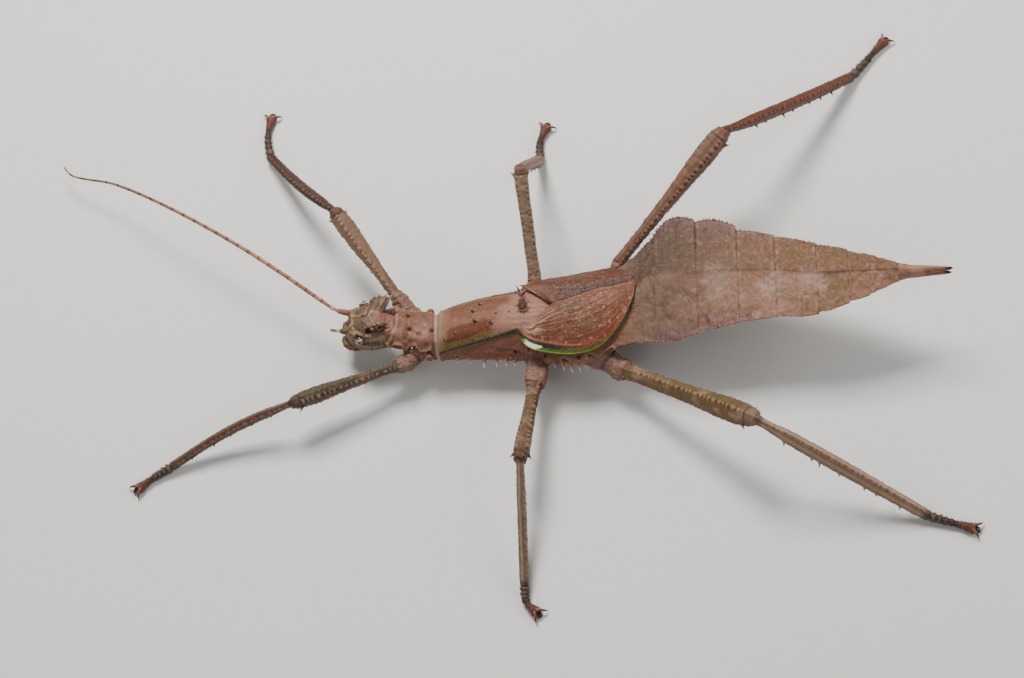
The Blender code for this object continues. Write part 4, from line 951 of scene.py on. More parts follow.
# %% Make the abdomen's teeth
def make_abdomen_teeth():
    """Fine teeth along both margins, longest on the lobes, with random lengths and leans."""
    skin = Surface()
    for side in (-1, 1):
        x = np.arange(RING_ENDS[0] + 0.4, RING_ENDS[7], TOOTH_SPACING)
        x = x + rng.uniform(-0.2, 0.2, len(x))
        roots = trunk_point(x, side * (0.56 + rng.uniform(-0.006, 0.006, len(x))))
        size = np.interp(x, (20, 24, 36, 42, 58), (0.3, 0.5, 0.5, 0.26, 0.16))
        lengths = size * rng.uniform(0.5, 1.25, len(x))
        ways = np.column_stack((rng.uniform(0.1, 0.7, len(x)), np.full(len(x), side),
                                rng.uniform(-0.1, 0.25, len(x))))
        tips = tint(SPINE_TIP, TOOTH_RUST, rng.random(len(x)))
        skin.tubes(*thorns(roots, ways, lengths, 0.1 + 0.1 * size, LOBE_GREY, tips, sides=6, rings=4))
    skin.make("abdomen_teeth", SPINE_FINISH, "abdomen_shell")


make_abdomen_teeth()

# %% [markdown]
# ## Lines with a thickness
# Legs, feelers, claws, palps and the beak are all a centre line with an oval section. Curves with
# a bevel would give plain pipes; this sweep also raises lengthwise ribs and lets width and height
# change at every ring.


# %% Sweep
def turned(angle, centre):
    """Difference of two angles in degrees, from -180 to 180."""
    return (angle - centre + 180.0) % 360.0 - 180.0


def sweep(centres, width, height, sides, ribs=(), roll=0.0):
    """Rings about a centre line: oval of half width and half height, with ribs along it.

    A rib is (angle, reach, share): it raises the skin near an angle, in degrees from level
    sideways over the top, by a share of the radius that fades as a bell.
    """
    way = unit(np.gradient(centres, axis=0))
    side, up = (axis[:, None] for axis in side_and_up(way))
    turn, angle = np.radians(roll), np.linspace(0, 360, sides, endpoint=False)
    across, upwards = np.cos(turn) * side + np.sin(turn) * up, np.cos(turn) * up - np.sin(turn) * side
    swell = 1 + sum(share * bell(turned(angle, at), reach) for at, reach, share in ribs)
    x = (np.cos(np.radians(angle)) * swell)[None, :, None] * np.asarray(width)[:, None, None]
    y = (np.sin(np.radians(angle)) * swell)[None, :, None] * np.asarray(height)[:, None, None]
    return centres[:, None] + x * across + y * upwards


def rounded(shares, front, rear):
    """1 along a part, falling to 0 as a quarter circle over its first and last stretches."""
    first = np.clip((shares - shares[0]) / max(front, 1e-9), 0, 1)
    last = np.clip((shares[-1] - shares) / max(rear, 1e-9), 0, 1)
    return np.sqrt(1 - (1 - first) ** 2) * np.sqrt(1 - (1 - last) ** 2) * 0.99 + 0.01


# %% [markdown]
# ## The beak
# Behind the last ring the egg-laying beak narrows to two dark points, one valve above the other.
# Each is a sweep along a straight line, keeled on top.

# %% Make the beak
BEAK_ROOT = np.array([62.4, 5.45, 14.75])
BEAK_RADII = ((0, 1.4), (0.15, 1.16), (0.4, 0.88), (0.7, 0.56), (0.92, 0.32), (1, 0.1))
VALVES = (((71.0, 5.3, 15.5), 1.0, 0.0), ((70.8, 4.95, 14.75), 0.84, -0.25))
BEAK_SHADE, BEAK_TIP = shade(182, 142, 122), shade(34, 24, 22)


def make_beak():
    """Two valves: ovals swept to a point, each sagging as a half sine."""
    skin = Surface()
    share = np.linspace(0, 1, 60)
    for tip, size, sag in VALVES:
        centres = BEAK_ROOT + (np.array(tip) - BEAK_ROOT) * share[:, None]
        centres[:, 2] += sag * (0.8 + np.sin(np.pi * share)) * (1 - share * 0.6)
        radius = smooth(BEAK_RADII, share)[:, 0] * size * rounded(share, 0.02, 0.02)
        points = sweep(centres, radius * 0.92, radius, 36, ((90, 16, 0.16), (215, 20, 0.06),
                                                            (325, 20, 0.06)))
        points = raised(points, 0.05 * noise(points * (0.4, 1, 1), 0.7))
        skin.tubes(points, painted(points, BEAK_SHADE, (ROOF_SHADE, 0.3 + 0.5 * noise(points, 1.2)),
                                   (BEAK_TIP, ramp(share, 0.80, 0.95)[:, None])))
    skin.make("beak", TRUNK_FINISH, "ovipositor", "ovipositor")


make_beak()

# %% [markdown]
# ## Forewings
# Two short leathery forewings lie over the hind thorax, the left one over the right. Each is a
# sheet between its inner and outer margins that rests on the back. The veins are raised in the
# sheet itself: long ones fan out from the hinge, and a net of fine cells, found from the distance
# to scattered points, fills the space between.

# %% Wing sizes
LEFT_INNER = ((6.2, 3.95), (10.3, 5.45), (14.1, 6.8), (17.6, 7.4), (20.2, 8.2))
LEFT_OUTER = ((0.9, 0.4), (2.6, -2.2), (5.6, -3.3), (10.4, -3.7), (14.4, -2.7), (17.6, 0.2),
              (19.9, 4.6), (20.5, 7.7))
RIGHT_INNER = ((6.2, 4.9), (9.0, 3.0), (13.0, 2.6), (17.0, 4.4), (19.7, 8.0))
RIGHT_OUTER = ((1.7, 8.3), (4.9, 10.1), (10.0, 11.15), (15.2, 11.35), (18.6, 10.4), (20.2, 8.9))
WING_REST = ((0.0, 1.0), (0.33, 0.95), (0.60, 0.86), (0.70, 0.62), (0.86, 0.33), (1.0, 0.0))
WING_SHEET, WING_LIFT = 0.32, 0.95     # thickness, and height of the top over the back
WING_OVERLAP = 0.6                     # extra height of the left wing's inner half
WING_ROWS, WING_COLUMNS = 190, 120
# Share out of the rim vein along each wing
LEFT_RIM = ((0.0, 0.93), (0.12, 0.84), (0.3, 0.85), (0.5, 0.90), (0.75, 0.95), (1.0, 0.98))
RIGHT_RIM = ((0.0, 0.96), (0.2, 0.945), (0.6, 0.95), (1.0, 0.98))
HINGE_SHARE, FAN_LENGTH = 0.84, 0.11   # where the long veins meet, and how soon they fan out
SMOOTHINGS = 80                        # rounds that soften the sheet's creases


def back_height(x, y):
    """Height of the resting wings' bed over places on the plan, found in four steps."""
    left, right, height, rise, _, thorax, lean = np.moveaxis(smooth(TRUNK, x), -1, 0)
    middle, width = (left + right) / 2, (right - left) / 2
    lift = 0.0 * x
    for _ in range(4):
        across = np.abs(y - lean * lift - middle) / width
        box, roof = (np.interp(across, *np.array(table).T) for table in (WING_REST, ABDOMEN[:6]))
        lift = rise * (thorax * box + (1 - thorax) * roof)
    return height + lift


def left_arch(u, v):
    """Arch of the left wing: inner edge high, outer edge rolled down over the flank."""
    inner, outer = 11.6 - 0.7 * u**2, 10.3 - 1.3 * np.sin(np.pi * u) + 0.4 * u
    return inner + (outer - inner) * v**1.6


def right_arch(u, v):
    """Arch of the right wing, whose outer edge rolls down over the far flank."""
    return 10.6 + (0.3 - 0.9 * np.sin(np.pi * u) - 0.3 * u) * v**1.6 - 2.8 * np.sin(np.pi * u) ** 0.6 * v**8


def relaxed(height):
    """Heights whose creases are smoothed by taking the four neighbours' mean over and over."""
    for _ in range(SMOOTHINGS):
        wide = np.pad(height, 1, mode="reflect", reflect_type="odd")
        height = (wide[:-2, 1:-1] + wide[2:, 1:-1] + wide[1:-1, :-2] + wide[1:-1, 2:]) / 4
    return height


# %% Wing veins
def net(along, across, cells=520):
    """Edge measure of scattered cells: second nearest point's distance less the nearest's."""
    seeds = np.column_stack((rng.uniform(-1, 21, cells), rng.uniform(-1, 11, cells)))
    place = np.stack((along, across), axis=-1).reshape(-1, 1, 2)
    distance = np.partition(np.linalg.norm((place - seeds) * (0.7, 1.0), axis=-1), 1, axis=1)[:, :2]
    return np.abs(distance[:, 1] - distance[:, 0]).reshape(along.shape)


def fan_place(u, v):
    """Place across the fan of long veins: v far from the hinge, spread out of it near by."""
    fan = np.exp(-u / FAN_LENGTH)
    return (v - HINGE_SHARE * fan) / (1.04 - fan)


def wing_veins(u, v, width, rim_line):
    """Long veins, the net between them and the rim vein, each from 0 to 1."""
    place = fan_place(u, v) + 0.02 * np.sin(5 * u + 11 * v)
    narrow = 1.04 - np.exp(-u / FAN_LENGTH)
    long_veins = 0.0 * u
    for k in range(1, 8):
        near = bell((place - k / 8.5) * width * narrow, 0.15)
        long_veins = np.maximum(long_veins, near * ramp(-u, -1.0, -0.7))
    cells = bell(net(u * 20, v * width), 0.07)
    rim = bell((v - rim_line) * width, 0.14)
    return long_veins, cells, rim


# %% Wing paint
WING_RED, WING_BROWN, WING_PALE = shade(156, 102, 76), shade(132, 98, 74), shade(196, 160, 136)
WING_OLIVE, WING_STREAK = shade(140, 114, 82), shade(206, 174, 160)
RIM_ORANGE, RIM_SHADOW_BAND, RUST_EDGE = shade(180, 116, 84), shade(42, 42, 26), shade(146, 78, 52)
RIM_GREEN, EDGE_GREEN, SNOW = shade(78, 112, 30), shade(156, 180, 58), shade(222, 236, 206)
SKIRT_PINK, RIM_YELLOW = shade(150, 112, 98), shade(214, 196, 96)
LINE_TAN, SHADOW_RED = shade(176, 140, 114), shade(70, 34, 24)


def paint_wing(points, u, v, width, veins, rim_line):
    """Rusty leather with pale flecks, streaks at the hinge, a painted shadow line at the inner margin, and
    a band of painted shadow before the green outer edge.
    """
    long_veins, cells, rim = veins
    beyond = ramp((v - rim_line) * width, 0.05, 0.3)
    furrow = bell((fan_place(u, v) - 0.44 - 0.05 * np.sin(4 * u)) * width, 0.22) * ramp(u, 0.08, 0.2)
    flecks = ramp(noise(points + 4, 0.42), 0.42, 0.95) + 0.35 * ramp(noise(points + 8, 1.1), 0.5, 1.0)
    skirt = ramp(-u, -0.13, -0.02) * ramp(v, 0.1, 0.3) * ramp(-v, -0.95, -0.85)
    streak = ramp(np.sin(fan_place(u, v) * 24 + 2.0 * noise(points, 1.5)), -0.1, 0.7)
    hinge = ramp(-u, -0.20, -0.08) * ramp(v, 0.08, 0.25) * ramp(-v, -0.85, -0.7)
    share = np.clip((v - rim_line) / (1.001 - rim_line), 0, 1)
    front, behind_hinge = ramp(-u, -0.48, -0.2), ramp(u, 0.03, 0.08)
    jagged = u + 0.012 * noise(points, 0.3, 2)
    patch = ramp(jagged, 0.075, 0.09) * ramp(-jagged - 0.05 * share, -0.225, -0.21)
    return painted(
        points, WING_RED, (WING_BROWN, 0.5 + 0.7 * noise(points, 2.4)),
        (WING_OLIVE, 0.6 * ramp(noise(points + 6, 1.9), 0.0, 0.8) * ramp(-v, -0.8, -0.4)),
        (RUST_EDGE, ramp(v, 0.62, 0.86) * 0.75), (WING_BROWN * 0.5, 0.4 * cells),
        (WING_PALE, 0.16 * long_veins * ramp(noise(points + 1, 1.3), -0.3, 0.5)),
        (WING_BROWN * 0.55, 0.6 * furrow * ramp(-u, -0.95, -0.6)),
        (WING_PALE, 0.75 * flecks * (1 - beyond)),
        (WING_BROWN * 0.6, 0.45 * ramp(noise(points + 2, 0.8), 0.3, 0.9) * (1 - beyond)),
        (SKIRT_PINK, 0.9 * skirt), (WING_STREAK, 0.95 * streak * hinge),
        (RIM_ORANGE, 0.55 * rim * ramp(-u, -0.5, -0.25)),
        # a painted shadow line along the inner margin
        (WING_BROWN * 0.3, bell(v * width, 0.26) * ramp(u, 0.02, 0.06)),
        (WING_PALE, 0.35 * bell(v * width - 0.5, 0.15) * ramp(u, 0.05, 0.1)),
        # the dark band beyond the rim vein is painted shadow, where the outer edge rolls down
        (RIM_SHADOW_BAND, beyond * (0.15 + 0.85 * front)),
        (RIM_GREEN, ramp(share, 0.30 + 0.25 * front, 0.7) * behind_hinge),
        (EDGE_GREEN, ramp(share, 0.8, 1.0) * behind_hinge * ramp(-u, -0.97, -0.8)),
        (SNOW, patch * ramp(share, 0.40, 0.48)), (RIM_YELLOW, patch * ramp(share, 0.86, 0.95)))


# %% Make the wings
WING_FINISH = chitin("wing_leather", roughness=0.52, mottle=0.24, pits=0.4, grain=0.04, coat=0.04)


def make_wing(name, inner, outer, arch, rim_table, left, node):
    """A sheet between two margins at the smooth maximum log(e^3a + e^3b) / 3 of arch and bed."""
    u = np.linspace(0, 1, WING_ROWS)
    grid_u, grid_v = np.meshgrid(u, np.linspace(0, 1, WING_COLUMNS), indexing="ij")
    inner_line, outer_line = (along_route(line, u)[:, None] for line in (inner, outer))
    plan = inner_line + (outer_line - inner_line) * grid_v[..., None]
    width = np.linalg.norm(outer_line - inner_line, axis=-1) + 0 * grid_v
    x, y = plan[..., 0], plan[..., 1]
    hinge = 1 - ramp(grid_u, 0.0, 0.12)
    pressed = np.maximum(hinge * ramp(grid_v, 0.06, 0.45), 0.75 * hinge**2)
    front = left * pressed * ramp(-grid_v, -0.98, -0.8)
    apex = ramp(grid_u, 0.7, 1.0)
    settled = 1 - (0.5 - 0.1 * left) * apex - 0.45 * (1 - left) * hinge
    overlap = left * WING_OVERLAP * ramp(-grid_v, -0.95, -0.4) * (1 - front) * (1 - 0.3 * apex)
    bed = back_height(x, y) + WING_LIFT * (settled - 1.4 * front) + overlap
    heights = relaxed(np.logaddexp(3 * bed, 3 * (arch(grid_u, grid_v) - 3 * front)) / 3)
    heights += left * 0.12 * bell(grid_v * width - 0.25, 0.2) * ramp(grid_u, 0.05, 0.12)
    heights -= left * 0.36 * bell(grid_v * width, 0.8) * ramp(grid_u, 0.06, 0.2) * (1 - apex)
    top = np.stack((x, y, heights), axis=-1)
    normal = unit(np.cross(np.gradient(top, axis=0), np.gradient(top, axis=1)))
    normal *= np.sign(normal[..., 2:])
    rim_line = smooth(rim_table, u)
    veins = wing_veins(grid_u, grid_v, width, rim_line)
    long_veins, cells, rim = veins
    relief = 0.035 * long_veins + 0.04 * cells + 0.08 * rim * ramp(-grid_u, -0.7, -0.3)
    relief += 0.06 * noise(top, 1.5)
    streaks = np.sin(fan_place(grid_u, grid_v) * 24 + 2.0 * noise(top, 1.5))
    relief += left * 0.06 * streaks * ramp(-grid_u, -0.24, -0.08) * ramp(-grid_v, -0.9, -0.75)
    edge = np.minimum(np.minimum(grid_v, 1 - grid_v) * width, np.minimum(grid_u + 0.05, 1.02 - grid_u) * 20)
    sheet = WING_SHEET * (0.4 + 0.6 * ramp(edge, 0.0, 0.6))
    paint = paint_wing(top, grid_u, grid_v, width, veins, rim_line)
    # painted shade over the inner half of each wing, where the wings overlap
    paint = paint * (1 - ramp(-grid_v, -0.7, -0.3)[..., None] * (0.18, 0.29, 0.38))
    if not left:
        paint = tint(paint, WING_RED, 0.8 * ramp(-grid_u, -0.25, -0.1)) * (0.58, 0.48, 0.40)
        paint = tint(paint, LINE_TAN, bell(grid_u * 20, 0.22) * 0.9)
        paint = tint(paint, SHADOW_RED, 0.9 * bell(route_distance(plan, LEFT_INNER) - 0.1, 0.34))
    skin = Surface()
    skin.blade(top + normal * relief[..., None], top - normal * sheet[..., None], paint,
               tint(paint, WING_BROWN, 0.7 + 0 * grid_u))
    skin.make(name, WING_FINISH, "forewing", node)


make_wing("right_forewing", RIGHT_INNER, RIGHT_OUTER, right_arch, RIGHT_RIM, False, "tegmen_right")
make_wing("left_forewing", LEFT_INNER, LEFT_OUTER, left_arch, LEFT_RIM, True, "tegmen_left")

# %% [markdown]
# ## Legs
# Each leg is a hip joint, a thigh with four knobbly keels, a shin with stripes and teeth, and a
# five-jointed foot that stands flat on the floor between two claws. The joints' places follow from
# two lengths and two headings, as they would in a posed armature, so the pose is a short table.
# Neighbouring parts run into each other, so the leg reads as one hard-skinned limb.

# %% Leg sizes
FEMUR_LENGTH = {"fore": 20.3, "mid": 18.1, "hind": 27.5}
TIBIA_LENGTH = {"fore": 23.1, "mid": 19.9, "hind": 31.9}
# root, hip, femur and tibia (compass, climb), foot (compass, length, bend), roll, bow of the tibia
LEGS = {
    "left_fore": ((-15.8, 0.8, 5.2), (-17.16, -1.9, 5.1), (-158.8, 6.0), (-159.7, -15.1),
                  (-147.9, 6.6, 0.2), 0, 0.9),
    "right_fore": ((-16.2, 4.6, 5.6), (-17.95, 7.45, 6.0), (125.2, 14.0), (129.5, -24.8),
                   (91.4, 8.0, -0.6), 60, -0.5),
    "left_mid": ((3.4, 0.6, 5.2), (3.9, -3.99, 5.0), (-98.4, 12.8), (-90.5, -23.0),
                 (-68.0, 4.8, 0.8), 0, 0.0),
    "right_mid": ((3.8, 7.6, 5.6), (3.5, 12.4, 6.0), (94.5, 42.0), (80.3, -58.0),
                  (81.6, 6.8, -0.6), 0, 0.0),
    "left_hind": ((11.8, -0.4, 5.9), (16.96, -4.7, 5.0), (-32.3, 20.0), (-25.1, -24.5),
                  (-18.0, 7.4, 0.0), 35, 0.0),
    "right_hind": ((15.4, 9.4, 5.6), (17.5, 13.8, 6.0), (44.2, 22.3), (38.8, -28.5),
                   (49.2, 9.2, 0.0), 0, 0.3),
}
COXA_RADIUS = {"fore": (1.9, 1.5), "mid": (2.2, 1.8), "hind": (2.5, 1.8),
               "right_mid": (1.7, 1.1), "right_hind": (1.5, 1.0)}
# share of the length, half width, half height
FEMUR_SHAPE = {
    "fore": ((0, 1.3, 1.3), (0.08, 1.3, 1.3), (0.16, 0.72, 0.95), (0.35, 0.7, 1.0), (0.6, 0.95, 1.35),
             (0.8, 1.2, 1.5), (0.95, 1.1, 1.3), (1, 0.9, 1.0)),
    "mid": ((0, 1.75, 1.6), (0.14, 1.8, 1.6), (0.24, 1.15, 1.2), (0.45, 1.05, 1.25), (0.7, 1.2, 1.35),
            (0.9, 1.3, 1.4), (1, 1.05, 1.1)),
    "hind": ((0, 1.75, 1.65), (0.05, 1.75, 1.65), (0.1, 1.05, 1.2), (0.3, 1.0, 1.25), (0.55, 1.15, 1.4),
             (0.8, 1.6, 1.75), (0.95, 1.55, 1.6), (1, 1.15, 1.2)),
    "right_mid": ((0, 1.05, 1.2), (0.14, 1.0, 1.2), (0.24, 1.0, 1.15), (0.45, 1.0, 1.2), (0.7, 1.05, 1.3),
                  (0.9, 1.1, 1.35), (1, 1.0, 1.1)),
    "right_hind": ((0, 0.95, 1.1), (0.05, 0.9, 1.1), (0.1, 0.85, 1.1), (0.3, 0.9, 1.2), (0.55, 1.15, 1.4),
                   (0.8, 1.6, 1.75), (0.95, 1.55, 1.6), (1, 1.15, 1.2)),
}
TIBIA_SHAPE = {
    "fore": ((0, 0.6, 0.7), (0.07, 0.5, 0.65), (0.2, 0.6, 0.95), (0.5, 0.62, 1.0), (0.9, 0.6, 0.85),
             (1, 0.65, 0.75)),
    "mid": ((0, 0.75, 0.75), (0.07, 0.65, 0.7), (0.22, 0.75, 0.9), (0.6, 0.75, 0.95), (0.93, 0.8, 0.95),
            (1, 0.75, 0.8)),
    "hind": ((0, 0.75, 0.8), (0.06, 0.6, 0.7), (0.2, 0.75, 1.1), (0.5, 0.8, 1.2), (0.93, 0.75, 0.95),
             (1, 0.75, 0.8)),
}
TARSUS_SHAPE = ((0, 0.5, 0.5), (0.14, 0.78, 0.6), (0.17, 0.5, 0.45), (0.27, 0.7, 0.55), (0.3, 0.48, 0.42),
                (0.4, 0.66, 0.52), (0.43, 0.46, 0.42), (0.52, 0.62, 0.5), (0.56, 0.44, 0.45),
                (0.8, 0.6, 0.6), (1.0, 0.95, 0.62))
TOE_HEIGHT, CLAW_REACH = 0.75, 2.0
CLAW_SPREAD = {"right_fore": 72, "right_mid": 74}     # degrees off the toe; the others' is next
CLAW_SPREAD_USUAL = 52
SLEEVE = {"fore": 0.12, "mid": 0.20, "hind": 0.08, "right_mid": 0.0, "right_hind": 0.0, "right_fore": 0.1}
KEELS = (45, 135, 225, 315)            # angles of the thigh's keels about its line

# %% [markdown]
# ### Colours of the legs
# No two legs are quite alike: thighs are olive above and rusty below, the pale keels carry rows of
# dark dots, shins are striped lengthwise, and the feet are dark with a rusty last joint. Thighs and
# shins also carry painted shade on their undersides.

# %% Leg colours
# thigh's top, thigh's flanks, knee, shin, shin's stripes
LEG_TONES = {
    "left_fore": (shade(90, 76, 50), shade(112, 74, 52), shade(96, 70, 56), shade(102, 74, 58),
                  shade(152, 120, 102)),
    "right_fore": (shade(142, 116, 96), shade(150, 106, 84), shade(104, 72, 56), shade(84, 44, 22),
                   shade(66, 40, 24)),
    "left_mid": (shade(112, 86, 58), shade(118, 78, 54), shade(92, 50, 38), shade(126, 104, 90),
                 shade(174, 152, 138)),
    "right_mid": (shade(156, 136, 116), shade(134, 100, 82), shade(120, 84, 66), shade(130, 94, 76),
                  shade(168, 136, 118)),
    "left_hind": (shade(120, 98, 60), shade(130, 78, 54), shade(148, 122, 104), shade(158, 130, 110),
                  shade(194, 170, 154)),
    "right_hind": (shade(134, 102, 84), shade(134, 76, 50), shade(128, 90, 72), shade(110, 56, 34),
                   shade(140, 98, 74)),
}
SLEEVE_SHADE, KEEL_PALE, DOT_BLACK = shade(144, 112, 98), shade(176, 142, 120), shade(34, 24, 20)
FOOT_DARK, TOE_RUST, PAD_GREY = shade(78, 62, 54), shade(118, 70, 50), shade(60, 52, 50)
CLAW_ORANGE, CLAW_DARK, PAD_PALE = shade(140, 84, 54), shade(38, 22, 16), shade(96, 84, 80)
FOOT_PALE, HAIR_BASE, HAIR_TIP = shade(132, 104, 92), shade(120, 96, 84), shade(150, 126, 112)


def keel_marks(angle, run, spacing):
    """Bumps and dark dots that alternate along the keels, 0 to 1 each."""
    bumps, dots = 0.0, 0.0
    for row, keel in enumerate(KEELS):
        near = bell(turned(angle, keel), 11)
        wave = np.sin(2 * np.pi * (run / spacing + 0.37 * row) + 1.3 * np.sin(run * 1.7 + row))
        bumps, dots = bumps + near * ramp(wave, -0.1, 0.8), dots + near * ramp(-wave, 0.55, 0.95)
    return bumps, dots


def paint_femur(points, share, angle, roll, tones, bumps, dots, sleeve):
    """One tone above and one on the flanks, painted shade below, with pale bumps, dark dots, a sleeve and a
    knee.
    """
    top, flank, knee, _, stripe = tones
    upper = np.cos(np.radians(angle + roll - 90))
    return painted(
        # flank * 0.6 under the thigh is painted shade
        points, flank, (top, ramp(upper, -0.15, 0.4)), (flank * 0.6, 0.6 * ramp(-upper, 0.3, 0.8)),
        (stripe, 0.35 * ramp(noise(points * (0.6, 1, 1), 1.8), 0.0, 0.8)),
        (KEEL_PALE, 0.75 * bumps), (DOT_BLACK, 0.8 * dots * ramp(share, 0.12, 0.2)),
        (SLEEVE_SHADE, ramp(-share, -sleeve - 0.02, -sleeve + 0.02) * (sleeve > 0)),
        (knee, 0.8 * ramp(share, 0.93, 0.98)),
        (LINE_DARK, 0.7 * bell(share - 0.955, 0.006) + 0.5 * bell(share - sleeve, 0.008)))


def paint_tibia(points, share, angle, roll, tones, bumps, dots):
    """Five wavy stripes along the shin, which has painted shade below and is darker at both ends."""
    shin, stripe = tones[3:]
    upper = np.cos(np.radians(angle + roll - 90))
    stripes = ramp(np.cos(np.radians(angle * 5 + 25 * noise(points, 4.0, 2))), 0.15, 0.75)
    return painted(
        # shin * 0.55 under the shin is painted shade
        points, shin, (stripe, 0.55 * stripes), (shin * 0.55, 0.6 * ramp(-upper, 0.2, 0.8)),
        (KEEL_PALE, 0.55 * bumps), (DOT_BLACK, 0.45 * dots),
        (shin * 0.45, 0.7 * ramp(-share, -0.05, -0.01)), (FOOT_DARK, 0.8 * ramp(share, 0.95, 0.99)))


# %% [markdown]
# ### Shapes of the legs
# A leg part is a sweep between its two joints. Its keels are ribs of the sweep, its knobs and
# wrinkles are pushed out along the normals, and spines and teeth are thorns with their roots on
# the same section.

# %% Leg parts
def joints(name):
    """Root, hip, knee, ankle and toe of a leg, worked out from its lengths and headings."""
    root, hip, femur, tibia, (compass, length, _), _, _ = LEGS[name]
    pair = name.split("_")[1]
    hip = np.array(hip)
    knee = hip + FEMUR_LENGTH[pair] * heading(*femur)
    ankle = knee + TIBIA_LENGTH[pair] * heading(*tibia)
    toe = ankle + length * heading(compass, 0)
    toe[2] = TOE_HEIGHT
    return np.array(root), hip, knee, ankle, toe


def limb(start, end, table, rings, sides, ribs=(), roll=0.0, bow=0.0, over=(0.5, 0.5)):
    """Points of a leg part that runs a little past both joints, with shares and angles."""
    length = np.linalg.norm(end - start)
    share = np.linspace(-over[0] / length, 1 + over[1] / length, rings)
    side, _ = side_and_up(unit(end - start))
    arch = np.sin(np.pi * np.clip(share, 0, 1))[:, None]
    centres = start + (end - start) * share[:, None] + side * bow * arch
    width, height = (smooth(table, share) * rounded(share, *(o / length for o in over))[:, None]).T
    angle = np.linspace(0, 360, sides, endpoint=False)
    return sweep(centres, width, height, sides, ribs, roll), share[:, None] + 0 * angle, angle


def limb_thorns(skin, start, end, table, shares, angles, lengths, radii, lean, roll, bow, base, tip,
                sides=6):
    """Thorns whose roots lie on a leg part's section at the given shares and angles."""
    way = unit(end - start)
    side, up = side_and_up(way)
    turn, angles = np.radians(roll), np.radians(angles)[:, None]
    across, upwards = np.cos(turn) * side + np.sin(turn) * up, np.cos(turn) * up - np.sin(turn) * side
    width, height = smooth(table, shares).T[:, :, None]
    out = np.cos(angles) * width * across + np.sin(angles) * height * upwards
    arch = np.sin(np.pi * shares)[:, None]
    roots = start + (end - start) * shares[:, None] + side * bow * arch + out * 0.98
    skin.tubes(*thorns(roots, unit(out) + lean * way, lengths, radii, base, tip, sides=sides, rings=5))


def add_coxa(skin, name, root, hip):
    """The hip joint: a round sweep that narrows past a ring groove."""
    inner, outer = COXA_RADIUS.get(name, COXA_RADIUS[name.split("_")[1]])
    table = ((0, inner, inner), (0.5, inner, inner), (0.8, outer * 1.05, outer * 1.05),
             (1, outer * 0.95, outer * 0.95))
    points, share, angle = limb(root, hip, table, 70, 44, over=(0.3, 0.7))
    seam = bell(share - 0.72, 0.05)
    points = raised(points, 0.12 * noise(points, 1.0) - 0.16 * seam)
    skin.tubes(points, painted(points, FLANK_RED, (SLEEVE_SHADE, ramp(share, 0.2, 0.6)),
                               (LINE_DARK, 0.7 * seam)))
    shares, angles = rng.uniform(0.3, 1.0, 26), rng.uniform(0, 360, 26)
    limb_thorns(skin, root, hip, table, shares, angles, rng.uniform(0.15, 0.4, 26), 0.12, 0.2, 0, 0,
                SLEEVE_SHADE, SPINE_TIP)


def add_femur(skin, name, pair, hip, knee, roll, tones):
    """The thigh: an oval sweep with four knobbly keels, spines along them and two at the knee."""
    table = FEMUR_SHAPE.get(name, FEMUR_SHAPE[pair])
    sleeve = SLEEVE.get(name, SLEEVE[pair])
    ribs = [(keel, 15, 0.13) for keel in KEELS] + [(90, 10, 0.04), (270, 10, 0.05), (0, 9, 0.04),
                                                   (180, 9, 0.04)]
    points, share, angle = limb(hip, knee, table, 250, 56, ribs, roll, over=(0.6, 0.55))
    run = share * np.linalg.norm(knee - hip)
    bumps, dots = keel_marks(angle, run, 0.95)
    relief = 0.09 * bumps + 0.07 * noise(points, 0.8) - 0.12 * bell(share - 0.955, 0.008)
    relief = relief + 0.1 * noise(points, 0.5) * ramp(-share, -sleeve - 0.02, -sleeve + 0.02)
    relief = relief - 0.1 * bell(share - sleeve, 0.01) * (sleeve > 0)
    skin.tubes(raised(points, relief),
               paint_femur(points, share, angle, roll, tones, bumps, dots, sleeve))
    for keel in KEELS:
        count = 8 if keel < 180 else 6
        shares = 0.16 + 0.74 * (np.arange(count) + rng.uniform(0.1, 0.9, count)) / count
        limb_thorns(skin, hip, knee, table, shares, np.full(count, keel), rng.uniform(0.22, 0.7, count),
                    0.16, 0.5, roll, 0.0, KEEL_PALE, tint(SPINE_TIP, DOT_BLACK, rng.random(count) * 1.2))
    limb_thorns(skin, hip, knee, table, np.array([0.94, 0.94]), np.array([-15 - roll, 195 - roll]),
                1.1, 0.34, 0.8, roll, 0.0, tones[2], SPINE_TIP, sides=8)
    many = 40 if sleeve else 12
    shares = rng.uniform(0.0, max(sleeve, 0.05), many)
    limb_thorns(skin, hip, knee, table, shares, rng.uniform(0, 360, many), rng.uniform(0.15, 0.4, many),
                0.1, 0.3, roll, 0.0, SLEEVE_SHADE, SPINE_TIP)


